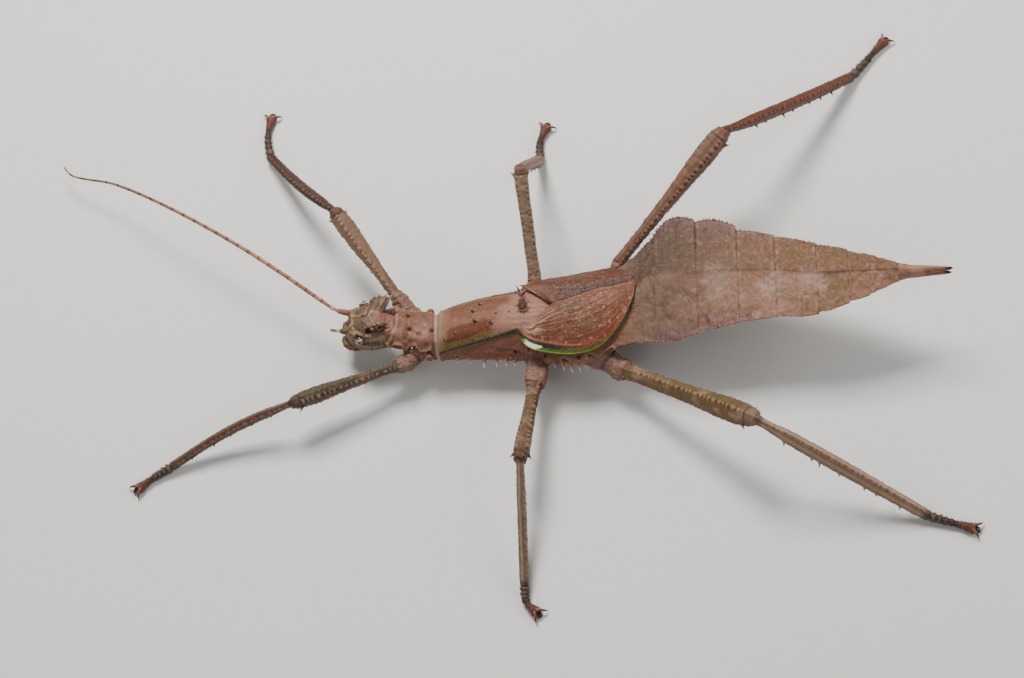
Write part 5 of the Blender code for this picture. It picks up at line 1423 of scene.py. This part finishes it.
def add_tibia(skin, pair, knee, ankle, roll, bow, tones):
    """The shin: a slim keeled sweep, bowed as a half sine, with two rows of teeth below."""
    table = TIBIA_SHAPE[pair]
    ribs = [(keel, 16, 0.12) for keel in KEELS] + [(90, 10, 0.05), (270, 10, 0.05)]
    points, share, angle = limb(knee, ankle, table, 260, 48, ribs, roll, bow, over=(0.7, 0.35))
    run = share * np.linalg.norm(ankle - knee)
    bumps, dots = keel_marks(angle, run, 1.1)
    skin.tubes(raised(points, 0.05 * bumps + 0.045 * noise(points, 0.7)),
               paint_tibia(points, share, angle, roll, tones, bumps, dots))
    count = {"fore": 5, "mid": 5, "hind": 7}[pair]
    size = {"fore": 0.55, "mid": 0.6, "hind": 1.0}[pair]
    for edge in (225, 315):
        shares = 0.16 + 0.74 * (np.arange(count) + rng.uniform(0.2, 0.8, count)) / count
        limb_thorns(skin, knee, ankle, table, shares, np.full(count, edge - roll),
                    size * rng.uniform(0.6, 1.1, count), 0.2 + 0.1 * size, 0.55, roll, bow, tones[3],
                    DOT_BLACK, sides=8)
    shares = np.sort(rng.uniform(0.1, 0.95, 24))
    limb_thorns(skin, knee, ankle, table, shares, rng.choice(KEELS, 24), rng.uniform(0.12, 0.3, 24), 0.1,
                0.6, roll, bow, tones[4], DOT_BLACK)


def add_tarsus(skin, ankle, toe, bend):
    """The foot: five joints in one sweep whose lower half is pressed flat on the floor."""
    start = ankle + unit(toe - ankle) * 0.1
    points, share, angle = limb(start, toe, TARSUS_SHAPE, 130, 40, bow=bend, over=(0.45, 0.25))
    swell = smooth(TARSUS_SHAPE, share[:, 0])[:, :1]
    middle = points[..., 2].mean(axis=1, keepdims=True)
    lowest = points[..., 2].min(axis=1, keepdims=True)
    sole = 0.16 * ramp(-swell, -0.62, -0.5)
    drop = np.clip((middle - points[..., 2]) / (middle - lowest), 0, 1)
    pressed = middle - (middle - sole) * np.minimum(1, 1.3 * drop)
    blend = ramp(share, 0.02, 0.14) * (points[..., 2] < middle)
    points = raised(points, 0.035 * noise(points, 0.45))
    points[..., 2] = np.maximum(points[..., 2] + (pressed - points[..., 2]) * blend, 0.0)
    skin.tubes(points, painted(
        points, FOOT_DARK, (TOE_RUST, ramp(share, 0.5, 0.8)),
        (FOOT_PALE, 0.6 * ramp(swell, 0.5, 0.72) * ramp(-share, -0.55, -0.4)),
        (DOT_BLACK, 0.5 * ramp(-swell, -0.52, -0.44))))
    rows, columns = rng.integers(6, 118, 240), rng.integers(0, 40, 240)
    roots, ways = points[rows, columns], outward(points)[rows, columns] + 0.7 * unit(toe - ankle)
    keep = roots[:, 2] > 0.3
    skin.tubes(*thorns(roots[keep], ways[keep], rng.uniform(0.2, 0.42, keep.sum()), 0.035,
                       HAIR_BASE, HAIR_TIP, sides=3, rings=3, sunk=0.1))


def add_claws(skin, name, ankle, toe, bend):
    """Two curved claws and the pad between them."""
    side, _ = side_and_up(unit(toe - ankle))
    level = unit(((toe - ankle) - side * bend * np.pi * 0.9) * (1, 1, 0))
    compass = np.degrees(np.arctan2(level[1], level[0]))
    spread = CLAW_SPREAD.get(name, CLAW_SPREAD_USUAL)
    share = np.linspace(0, 1, 32)[:, None]
    radius = smooth(((0, 0.36), (0.25, 0.33), (0.5, 0.27), (0.75, 0.18), (1, 0.03)), share[:, 0])[:, 0]
    for turn in (spread, -spread):
        out = heading(compass + turn, 0)
        inwards = unit(level - out * 0.2)
        line = toe - level * 0.5 + out * CLAW_REACH * share + inwards * 0.5 * np.sin(share * np.pi / 2)
        line[:, 2] = toe[2] + 0.1 + (0.35 * np.sin(share * np.pi) - 0.62 * share**2)[:, 0]
        points = sweep(line, radius * 0.8, radius, 18)
        skin.tubes(points, painted(points, CLAW_ORANGE, (CLAW_DARK, ramp(share, 0.45, 0.8))))
    pad = ball(toe + level * 0.4 + (0, 0, 0.40 - toe[2]), (0.72, 0.66, 0.40), compass)
    skin.tubes(pad, tint(PAD_GREY, PAD_PALE, noise(pad, 0.4)))


# %% Make the legs
def make_leg(name):
    """One leg's four parts in one mesh, and its claws in another."""
    pair = name.split("_")[1]
    bend, roll, bow = LEGS[name][4][2], LEGS[name][5], LEGS[name][6]
    tones = LEG_TONES[name]
    root, hip, knee, ankle, toe = joints(name)
    skin = Surface()
    add_coxa(skin, name, root, hip)
    add_femur(skin, name, pair, hip, knee, roll, tones)
    add_tibia(skin, pair, knee, ankle, roll, bow, tones)
    add_tarsus(skin, ankle, toe, bend)
    parts = [f"{name}_{part}" for part in ("coxa", "femur", "tibia", "tarsus")]
    skin.make(f"{name}_leg", LEG_FINISH, "leg_shell", *parts)
    claws = Surface()
    add_claws(claws, name, ankle, toe, bend)
    claws.make(f"{name}_claws", CLAW_FINISH, "leg_shell")


for leg in LEGS:
    make_leg(leg)

# %% [markdown]
# ## The head
# The head is a rugged box: a sloping front with pale rims, knobs where the feelers grow, deep
# hollows behind the eyes, long cheeks, and a thorny crest on each side of the crown. Sculpting by
# hand would do it; here ridges are distances to drawn lines and hollows are distances to points,
# measured on one half and mirrored, and both push the skin and colour it: the ridges pale, the
# hollows dark with painted shade.

# %% Head sizes
HEAD_MIDDLE = 4.1
# x, middle y, half width, top z, bottom z
HEAD = ((-28.15, 4.1, 0.9, 5.9, 3.8), (-27.8, 4.1, 1.3, 6.3, 3.5), (-27.4, 4.1, 1.9, 7.3, 3.0),
        (-26.7, 4.1, 2.5, 8.5, 2.8), (-25.8, 4.1, 3.05, 9.4, 2.8), (-24.6, 4.1, 3.45, 10.1, 2.9),
        (-23.0, 4.0, 3.65, 10.5, 3.2), (-21.6, 3.8, 3.45, 10.2, 3.7), (-20.7, 3.6, 3.0, 9.6, 4.1),
        (-20.0, 3.5, 2.8, 9.3, 4.2), (-19.3, 3.4, 2.7, 9.1, 4.4), (-18.7, 3.4, 2.2, 8.6, 4.9))
HEAD_ROWS, HEAD_COLUMNS = 200, 190
EYE_RADIUS = 0.85
EYES = {"left": (-25.0, 1.05, 8.1), "right": (-24.45, 7.08, 8.45)}
EYE_SEATS = {"left": (0.24, 0.10), "right": (0.0, 0.65)}   # rise of the ring round an eye, its pit
# Raised lines on the left half: route, reach, height
HEAD_RIDGES = (
    (((-25.4, 1.9, 8.9), (-26.0, 2.8, 9.0), (-26.1, 4.1, 9.15)), 0.22, 0.26),
    (((-26.3, 2.3, 8.4), (-25.3, 1.9, 9.2), (-24.1, 1.3, 9.3), (-23.0, 1.1, 9.2), (-21.4, 1.7, 9.2),
      (-19.8, 2.4, 8.8)), 0.22, 0.30),
    (((-24.3, 3.7, 10.3), (-23.5, 2.7, 10.4), (-23.0, 2.2, 10.3)), 0.20, 0.30),
    (((-24.1, 1.6, 9.5), (-23.8, 2.3, 10.0), (-23.0, 2.4, 10.2)), 0.16, 0.24),
    (((-25.6, 1.3, 5.0), (-24.2, 0.7, 5.3), (-22.8, 0.5, 5.6), (-21.4, 0.9, 6.0), (-20.4, 1.2, 6.5)),
     0.30, 0.26),
    (((-27.0, 3.4, 7.9), (-26.4, 3.2, 8.6), (-25.2, 3.3, 9.7)), 0.14, 0.12),
    (((-24.9, 0.6, 6.6), (-23.4, 0.3, 7.4), (-21.8, 0.7, 7.6)), 0.3, 0.14),
    (((-23.9, 0.7, 8.6), (-22.9, 0.65, 8.8), (-21.8, 0.9, 8.7), (-20.8, 1.3, 8.5)), 0.24, 0.2),
)
# Hollows on the left half: place, radius, depth
HEAD_HOLLOWS = (((-23.35, 1.75, 9.9), 0.42, 0.55), ((-22.1, 2.2, 10.1), 0.48, 0.5),
                ((-20.9, 2.5, 9.6), 0.42, 0.4), ((-25.3, 3.1, 9.6), 0.5, 0.12),
                ((-26.7, 4.1, 8.3), 0.45, 0.15), ((-24.4, 1.1, 6.2), 0.4, 0.15))
LEFT_CREASE = ((-22.8, 2.1, 10.1), (-21.9, 2.2, 10.1), (-20.9, 2.3, 9.7), (-20.1, 2.5, 9.3))
BROW = (-26.15, 2.6, 7.95)             # knob round the left feeler's root
# Crest spines: root and tip, left and right
CRESTS = (
    ((-23.7, 2.3, 9.8), (-23.6, 1.75, 10.6)), ((-23.2, 2.3, 10.1), (-22.1, 1.25, 11.3)),
    ((-22.3, 2.2, 10.1), (-21.7, 1.4, 11.2)), ((-21.3, 2.5, 10.0), (-19.95, 2.25, 11.3)),
    ((-21.1, 2.0, 9.8), (-19.95, 1.75, 10.9)),
    ((-23.2, 6.3, 9.9), (-22.8, 7.0, 11.2)), ((-22.8, 6.2, 10.1), (-22.25, 7.35, 11.6)),
    ((-22.1, 6.1, 10.1), (-21.4, 7.4, 11.85)), ((-21.4, 6.0, 10.0), (-19.9, 7.4, 12.3)),
    ((-21.0, 5.9, 9.8), (-19.1, 7.3, 12.05)), ((-20.2, 5.5, 9.0), (-18.5, 5.75, 10.75)),
)


def mirrored(points):
    """Points of both halves of the head, folded onto the left half."""
    fold = points.copy()
    fold[..., 1] = HEAD_MIDDLE - np.abs(points[..., 1] - HEAD_MIDDLE)
    return fold


# %% Head relief
def ridge_net(points):
    """A net of rugged lines over the front and crown: 1 on a line, 0 between, fading on the cheeks."""
    lines = ramp(-np.abs(noise(points * (1.0, 0.8, 0.6) + 3, 1.5, 2)), -0.30, -0.02)
    front = ramp(points[..., 2], 7.4, 8.4) * ramp(-points[..., 0], 20.8, 21.8)
    return lines * front * ramp(mirrored(points)[..., 1], 1.3, 2.0)


def head_relief(points):
    """Height in millimetres added to the bare head by ridges, hollows, knobs and wrinkles."""
    fold = mirrored(points)
    relief = 0.13 * noise(points, 1.3) + 0.07 * noise(points, 0.5) + 0.2 * ridge_net(points)
    clear = 1 - 0.85 * bell(away(points, EYES["right"]), 1.5)
    for route, reach, height in HEAD_RIDGES:
        relief += 1.2 * height * bell(route_distance(fold, route), reach) * clear
    for place, radius, depth in HEAD_HOLLOWS:
        relief -= depth * bell(away(fold, place), radius)
    brow = away(fold, BROW)
    relief += 0.42 * bell(brow - 0.62, 0.26) - 0.1 * bell(brow, 0.3)
    for side, place in EYES.items():
        distance, (ring, pit) = away(points, place), EYE_SEATS[side]
        relief += ring * bell(distance - 1.05, 0.2) - pit * bell(distance, 0.75)
    relief += 0.35 * bell(away(points, (-27.35, 4.5, 7.4)), 0.4)
    relief -= 0.18 * bell(route_distance(fold, ((-26.6, 1.4, 5.6), (-25.6, 0.7, 6.6))), 0.25)
    lower = ramp(-points[..., 2], -5.6, -4.4) * ramp(points[..., 0], -25.5, -24.5)
    return relief + 0.05 * lower * np.sin(points[..., 0] * 13 + noise(points, 0.8))


# %% Head paint
HEAD_BROWN, HEAD_OLIVE, FRONS_GREY = shade(118, 94, 76), shade(116, 104, 66), shade(142, 122, 102)
VERTEX_PINK, RIDGE_TAN, HOLLOW_SHADE = shade(160, 118, 102), shade(184, 154, 128), shade(58, 26, 18)
CHEEK_OLIVE, LIP_TAN, HIGHLIGHT = shade(112, 100, 70), shade(146, 112, 88), shade(214, 190, 174)
CREST_DARK, CREST_RED, CREST_GOLD = shade(92, 58, 44), shade(110, 48, 32), shade(206, 170, 96)
CREST_PINK, CREST_PALE, CREST_TAN = shade(152, 122, 106), shade(200, 176, 158), shade(150, 100, 84)
NET_DARK, CHEEK_PALE, CHEEK_LINE = shade(66, 48, 34), shade(158, 142, 112), shade(140, 128, 92)
CHEEK_DARK, CHEEK_RIM, NAPE_PINK = shade(40, 38, 30), shade(192, 180, 160), shade(188, 146, 124)
NAPE_RUST, CROWN_PALE, FRONT_RUST = shade(184, 124, 96), shade(232, 212, 190), shade(120, 54, 34)
BROW_TAN, EYE_RING, EYE_SEAM = shade(150, 108, 88), shade(158, 104, 70), shade(64, 38, 26)
KNOB_OLIVE = shade(104, 90, 64)
# Two pale strokes on the crown
CROWN_LINES = (((-23.3, 4.4, 10.45), (-22.75, 5.15, 10.4)), ((-23.05, 2.95, 10.5), (-22.7, 3.5, 10.6)))


def paint_head(points):
    """Olive front, pink crown, streaked cheeks, pale ridges, painted shade in the hollows, and rings at the
    eyes.
    """
    fold, lines = mirrored(points), ridge_net(points)
    x, y, z = np.moveaxis(fold, -1, 0)
    cheek = ramp(-y, -1.9, -1.3) * ramp(x, -25.2, -24.4) * ramp(-x, 20.6, 21.4)
    grain, brow = 0.3 * noise(points, 1.0), away(fold, BROW)
    strokes = ramp(np.sin(x * 10 + 2.0 * noise(points, 0.8)), -0.1, 0.6)
    eyes = [away(points, place) for place in EYES.values()]
    paint = painted(
        points, HEAD_BROWN, (HEAD_OLIVE, 0.6 + 0.8 * noise(points, 1.4)),
        (FRONS_GREY, 0.8 * bell(away(fold, (-25.2, 3.6, 9.5)), 1.0)),
        (VERTEX_PINK, 1.2 * bell(away(fold, (-21.4, 3.9, 10.0)), 1.6)),
        (HIGHLIGHT, 0.45 * bell(away(points, (-22.3, 5.1, 10.4)), 0.4)),
        (VERTEX_PINK * 0.9, ramp(x, -21.2, -20.4) * 0.8),
        (NET_DARK, 0.5 * ramp(lines, 0.02, 0.25) * ramp(-lines, -0.7, -0.3)),
        (RIDGE_TAN, 0.75 * ramp(lines, 0.45, 0.95)),
        (CHEEK_OLIVE, 0.85 * cheek * ramp(-z, -9.0, -8.4)),
        (CHEEK_PALE, 0.85 * cheek * bell(z - 8.8 + grain, 0.4)),
        (CHEEK_LINE, 0.5 * cheek * ramp(np.sin(z * 9 + x + 6 * grain), 0.0, 0.8)),
        (CHEEK_DARK, 0.7 * cheek * strokes * bell(z - 7.7 + grain, 0.45)),
        (CHEEK_RIM, 0.8 * cheek * bell(z - 6.8 + grain, 0.3)),
        (NAPE_PINK, 0.9 * bell(away(fold, (-20.9, 0.8, 8.2)), 0.8)),
        (NAPE_RUST, 0.8 * bell(away(fold, (-20.3, 0.9, 7.2)), 0.8)),
        (LIP_TAN * 0.85, ramp(-x, 26.4, 27.2) * ramp(-z, -5.4, -4.6)),
        *((RIDGE_TAN, 2.4 * height * bell(route_distance(fold, route), reach * 0.75))
          for route, reach, height in HEAD_RIDGES),
        *((CROWN_PALE, 0.9 * bell(route_distance(points, route), 0.08)) for route in CROWN_LINES),
        # painted shade, dark red-brown, in the hollows and along the crease beside the left crest
        *((HOLLOW_SHADE, 2.4 * depth * bell(away(fold, place), radius * 1.1))
          for place, radius, depth in HEAD_HOLLOWS),
        (HOLLOW_SHADE, 0.8 * bell(route_distance(points, LEFT_CREASE), 0.16)),
        (FRONT_RUST, 0.9 * bell(away(points, (-27.4, 4.5, 7.5)), 0.4)),
        (BROW_TAN, 0.6 * bell(brow - 0.6, 0.25)), (PIT_DARK, 0.8 * bell(brow, 0.35)),
        *(coat for eye in eyes for coat in ((EYE_RING, 0.7 * bell(eye - 1.12, 0.12)),
                                            (EYE_SEAM, 0.95 * bell(eye - 0.93, 0.12)))))
    wrinkles = ramp(np.abs(noise(points, 0.9)), 0.0, 0.08)
    return tint(paint, paint * 0.55, 0.4 * (1 - wrinkles))


def make_head():
    """Boxy rings, cos^0.85 wide by sin^0.85 high, pushed out by their relief."""
    x = np.linspace(HEAD[0][0], HEAD[-1][0], HEAD_ROWS)
    middle, width, top, bottom = smooth(HEAD, x).T[:, :, None]
    close = rounded(x, 0.7, 0.02)[:, None]
    angle = np.linspace(0, 2 * np.pi, HEAD_COLUMNS, endpoint=False)
    across, lift = np.cos(angle), np.sin(angle)
    across, lift = (np.sign(part) * np.abs(part) ** 0.85 for part in (across, lift))
    points = np.stack((x[:, None] + 0 * angle, middle + across * width * close,
                       (top + bottom) / 2 + lift * (top - bottom) / 2 * close), axis=-1)
    skin = Surface()
    skin.tubes(raised(points, head_relief(points)), paint_head(points))
    skin.make("head_skin", HEAD_FINISH, "head_shell", "head")


make_head()


# %% Make the crests
def web(feet, tips, side, reach):
    """A thin ragged sheet that joins a crest's spines over that share of their length."""
    order = np.linspace(0, 1, 90)
    foot, tip = along_route(feet, order), along_route(tips, order)
    places = np.linspace(0, 1, len(feet))
    jag = reach + 0.16 * np.max(bell(order[:, None] - places, 0.07), axis=1)
    jag = jag + 0.05 * np.sin(order * 61) * np.sin(order * 23)
    share = np.linspace(-0.6, 1, 22)[None, :, None]
    sheet = foot[:, None] + (tip - foot)[:, None] * jag[:, None, None] * share
    way = unit(np.cross(np.gradient(sheet, axis=0), np.gradient(sheet, axis=1)))
    thick = 0.24 - 0.16 * share + 0.4 * ramp(-share, -0.25, 0.3)
    sheet = sheet + way * 0.12 * noise(sheet, 0.8)[..., None]
    return sheet + way * thick * side, sheet - way * thick * side


def make_crests():
    """Thorns joined by a ragged web on each side of the crown, and three small knobs."""
    skin = Surface()
    roots, tips = np.array(CRESTS).transpose(1, 0, 2)
    lengths = np.linalg.norm(tips - roots, axis=1)
    left = (roots[:, 1] < HEAD_MIDDLE)[:, None]
    base, end = np.where(left, CREST_DARK, CREST_PINK), np.where(left, CREST_RED, CREST_PALE)
    end[1], end[5:8] = CREST_GOLD, CREST_TAN
    radii = np.where(lengths > 2.2, 0.5, 0.34)
    points, paint = thorns(roots, tips - roots, lengths * 1.08, radii, base, end, sides=14, rings=12,
                           sunk=0.3)
    paint = tint(paint, HIGHLIGHT, 0.7 * bell(away(points, (-21.3, 6.6, 11.0)), 0.7))
    paint[1, 9:] = DOT_BLACK
    skin.tubes(points, paint)
    for feet, points, colour, side, reach in ((roots[:5], tips[:5], CREST_DARK, 1, 0.34),
                                              (roots[5:10], tips[5:10], CREST_PINK, -1, 0.68)):
        top, bottom = web(feet, points, side, reach)
        paint = painted(top, colour, (CREST_PALE, 0.5 * ramp(noise(top, 0.6), -0.1, 0.7)),
                        (HIGHLIGHT, 0.9 * bell(away(top, (-21.35, 6.4, 11.0)), 0.7)))
        skin.blade(top, bottom, paint, paint)
    knobs = np.array(((-22.4, 2.55, 10.25), (-21.7, 2.8, 10.25), (-21.1, 2.4, 10.0)))
    for knob, radius in zip(knobs, (0.36, 0.46, 0.26)):
        lump = ball(knob, (radius * 1.2, radius * 0.8, radius), 20.0, 20, 24)
        lump = raised(lump, 0.12 * noise(lump, 0.4))
        skin.tubes(lump, painted(lump, KNOB_OLIVE, (HEAD_BROWN, 0.5 + noise(lump, 0.5)),
                                 (RIDGE_TAN, 0.5 * ramp(lump[..., 2], 10.3, 10.6))))
    skin.make("head_crests", HEAD_FINISH, "head_shell")


make_crests()

# %% [markdown]
# ### Mouthparts
# Lips, jaws and four-jointed palps hang under the front. Each is an egg-shaped grid or a short
# sweep; a line of painted shade parts the lips, as in a closed mouth.

# %% Make the mouthparts
# Half lines of the lips from the mouth's corner to its middle: x, out from the middle, height
LIPS = (((-24.9, 2.6, 4.9), (-26.1, 2.5, 4.5), (-27.2, 2.2, 4.35), (-28.1, 1.7, 4.3), (-28.25, 1.05, 4.35),
         (-27.7, 0.45, 4.4), (-27.5, 0.0, 4.4)),
        ((-25.1, 2.5, 4.2), (-26.1, 2.4, 3.95), (-27.1, 2.05, 3.75), (-27.8, 1.5, 3.7), (-27.85, 0.9, 3.7),
         (-27.4, 0.35, 3.7), (-27.3, 0.0, 3.7)))
LIP_HALVES = ((0, 0.2, 0.14), (0.1, 0.34, 0.26), (0.25, 0.40, 0.32), (0.38, 0.50, 0.38), (0.5, 0.34, 0.3),
              (0.62, 0.50, 0.38), (0.75, 0.40, 0.32), (0.9, 0.34, 0.26), (1, 0.2, 0.14))
# place, radii, turn; sideways places and turns are mirrored
JAWS = (((-26.2, 1.35, 3.75), (1.8, 1.15, 0.8), -14), ((-25.6, 0.7, 3.1), (1.5, 0.8, 0.5), -6))
PALP = ((-24.7, 2.4, 4.2), (-25.4, 2.75, 4.1), (-26.3, 2.8, 3.95), (-27.2, 2.55, 3.8), (-28.0, 2.15, 3.7),
        (-28.6, 1.65, 3.65))
LIP_BROWN, LIP_GOLD = shade(108, 80, 64), shade(190, 156, 120)
PALP_TAN, PALP_JOINT = shade(178, 138, 100), shade(96, 62, 46)


def add_lips(skin):
    """Two scalloped lips, each one sweep around the front of the mouth, with painted shade between."""
    share = np.linspace(0, 1, 200)
    scallop = 0.78 + 0.22 * np.abs(np.sin(np.pi * share * 8)) ** 0.5
    for half, under in zip(LIPS, (False, True)):
        left = [(x, HEAD_MIDDLE - out, z) for x, out, z in half]
        right = [(x, HEAD_MIDDLE + out, z) for x, out, z in half[-2::-1]]
        wide, high = smooth(LIP_HALVES, share).T * scallop
        lip = sweep(along_route(left + right, share), wide, high, 32)
        lip = raised(lip, 0.06 * noise(lip, 0.5))
        height = lip[..., 2] - lip[..., 2].mean(axis=1, keepdims=True)
        inner = height if under else -height
        skin.tubes(lip, painted(
            lip, LIP_TAN, (LIP_BROWN, 0.5 + 0.7 * noise(lip, 0.7)),
            # the two dark coats below are painted shade: where the lips meet, and in the scallops' notches
            (LIP_GOLD, 0.6 * bell(height - 0.02, 0.10)), (PIT_DARK, 0.9 * ramp(inner, 0.18, 0.28)),
            (PIT_DARK, 0.6 * ramp(-scallop, -0.90, -0.82)[:, None])))


def make_mouth():
    """Lips, egg-shaped jaws, and palps whose width dips at each joint as a root of |sin|."""
    skin = Surface()
    add_lips(skin)
    for ((x, out, z), radii, turn), side in product(JAWS, (-1, 1)):
        egg = ball((x, HEAD_MIDDLE + side * out, z), radii, side * turn, 40, 44)
        egg = raised(egg, 0.07 * noise(egg, 0.7))
        skin.tubes(egg, tint(LIP_TAN * 0.7, LIP_BROWN * 0.7, 0.5 + 0.7 * noise(egg, 0.8)))
    share = np.linspace(0, 1, 70)
    joints_at = 0.72 + 0.28 * np.abs(np.sin(np.pi * (share * 3.4 + 0.1))) ** 0.5
    radius = smooth(((0, 0.36), (0.33, 0.34), (0.7, 0.30), (1, 0.22)), share)[:, 0]
    radius = radius * joints_at * rounded(share, 0.02, 0.08)
    for side in (-1, 1):
        route = [(x, HEAD_MIDDLE + side * out, z) for x, out, z in PALP]
        line = sweep(along_route(route, share), radius, radius, 24)
        skin.tubes(line, painted(line, PALP_TAN, (LIP_BROWN, 0.3 + noise(line, 0.6)),
                                 (PALP_JOINT, ramp(-joints_at, -0.86, -0.76)[:, None])))
    skin.make("mouthparts", HEAD_FINISH, "head_shell")


make_mouth()

# %% [markdown]
# ### Eyes
# The eyes are small domes of many facets, cream and orange with swirling dark streaks. The facets
# are a fine cell pattern in the finish; the streaks are bands of a warped wave.


# %% Make the eyes
EYE_TAN, EYE_CREAM, EYE_ORANGE = shade(214, 170, 136), shade(248, 238, 226), shade(196, 96, 44)
EYE_STREAK, EYE_EDGE = shade(44, 26, 26), shade(112, 62, 34)


def eye_finish():
    """Painted streaks under a clear wet coat, with a fine net of facets."""
    finish = Finish("eye_facets", roughness=0.25, coat_weight=0.8, coat_roughness=0.06)
    edge = finish.step(finish.cells(0.055, "DISTANCE_TO_EDGE"), 0.02, 0.10)
    colour = finish.dim(finish.painted(), 0.72 + edge * 0.28)
    return finish.wear(base_color=colour, normal=finish.bump(edge, 0.012))


def make_eyes():
    """Balls whose dark streaks are the crests of a slanted sine, warped by noise."""
    finish = eye_finish()
    for name, place in EYES.items():
        eye = ball(place, (EYE_RADIUS, EYE_RADIUS * 0.95, EYE_RADIUS), 0, 60, 72)
        local = (eye - place) / EYE_RADIUS
        wave = np.sin(5.5 * (local[..., 1] - 0.7 * local[..., 0]) + 2.6 * noise(eye, 0.8, 2))
        rim = unit(np.array(place) - (place[0] + 0.4, HEAD_MIDDLE, place[2] - 1.2))
        skin = Surface()
        skin.tubes(eye, painted(eye, EYE_TAN, (EYE_CREAM, ramp(noise(eye + 5, 0.45), 0.0, 0.4)),
                                (EYE_ORANGE, 0.9 * ramp(noise(eye + 11, 0.5), 0.05, 0.5)),
                                (EYE_STREAK, 0.95 * ramp(wave, 0.5, 0.85)),
                                (EYE_EDGE, ramp(-(local @ rim), -0.5, -0.25))))
        skin.make(f"{name}_eye", finish, "eye", f"eye_{name}")


make_eyes()

# %% [markdown]
# ## Feelers
# The right feeler is a thick first joint, a short second one, and a long whip of some two dozen
# rings that grow longer and thinner; the left one is broken off to a stub, as on the animal seen.

# %% Make the feelers
RIGHT_FEELER = ((-25.6, 6.0, 7.7), (-27.6, 6.1, 8.3), (-29.2, 6.6, 8.5), (-31.5, 8.1, 9.1),
                (-37.4, 12.6, 9.6), (-46.7, 19.3, 10.0), (-58.6, 27.2, 9.0), (-68.6, 33.3, 6.5),
                (-74.6, 35.6, 4.8), (-77.0, 36.8, 4.1), (-78.6, 38.8, 3.5))
RIGHT_RADII = ((0, 0.42), (0.012, 0.44), (0.03, 0.50), (0.05, 0.40), (0.056, 0.26), (0.066, 0.34),
               (0.078, 0.27), (0.1, 0.34), (0.5, 0.29), (0.8, 0.22), (0.95, 0.15), (1, 0.10))
LEFT_FEELER = ((-25.6, 2.6, 7.7), (-27.3, 2.75, 7.95), (-29.0, 2.95, 8.15), (-30.0, 3.05, 8.25))
LEFT_RADII = ((0, 0.42), (0.25, 0.46), (0.5, 0.50), (0.60, 0.40), (0.645, 0.25), (0.72, 0.27),
              (0.78, 0.24), (0.9, 0.26), (1.0, 0.20))
FEELER_PINK, FEELER_RING, FEELER_OLIVE = shade(164, 118, 98), shade(66, 46, 40), shade(126, 112, 70)
FEELER_ROSE, FEELER_TAN, FEELER_CREAM = shade(186, 140, 116), shade(154, 106, 84), shade(214, 190, 166)
STUB_BROWN, STUB_CREAM = shade(120, 84, 64), shade(226, 214, 196)
FEELER_JOINTS = 26


def make_feelers():
    """Round sweeps along drawn routes, swollen and then nicked at every joint."""
    skin = Surface()
    share = np.linspace(0, 1, 900)
    radius = smooth(RIGHT_RADII, share)[:, 0] * rounded(share, 0.001, 0.002)
    ring = (np.clip((share - 0.08) / 0.92, 0, 1) ** 0.85) * FEELER_JOINTS
    gap = np.minimum(ring % 1, 1 - ring % 1) * (share > 0.08) + (share <= 0.08)
    radius = radius * (1 + 0.10 * bell(gap, 0.12) - 0.10 * bell(gap, 0.03))
    points = sweep(along_route(RIGHT_FEELER, share), radius, radius, 20)
    points = raised(points, 0.02 * noise(points, 0.5))
    skin.tubes(points, painted(
        points, FEELER_PINK, (FEELER_ROSE, 0.5 + noise(points, 1.5)),
        (FEELER_OLIVE * 0.8, 0.5 * ramp(share, 0.3, 1.0)[:, None]),
        (FEELER_RING, 0.8 * bell(gap, 0.09)[:, None]),
        (FEELER_TAN, 0.8 * ramp(-share, -0.05, -0.04)[:, None]),
        (FEELER_CREAM, 0.7 * bell(share - 0.066, 0.006)[:, None])))
    share = np.linspace(0, 1, 120)
    radius = smooth(LEFT_RADII, share)[:, 0] * rounded(share, 0.01, 0.05)
    points = sweep(along_route(LEFT_FEELER, share), radius, radius, 32)
    points = raised(points, 0.04 * noise(points, 0.6))
    skin.tubes(points, painted(
        points, FEELER_OLIVE, (STUB_BROWN, 0.4 + noise(points, 0.9)),
        (FEELER_PINK, ramp(share, 0.74, 0.8)[:, None]), (STUB_CREAM, bell(share - 0.70, 0.05)[:, None])))
    skin.make("feelers", LEG_FINISH, "antenna", "antenna_right_scape", "antenna_right_1",
              "antenna_right_2", "antenna_right_3", "antenna_left_stub")


make_feelers()
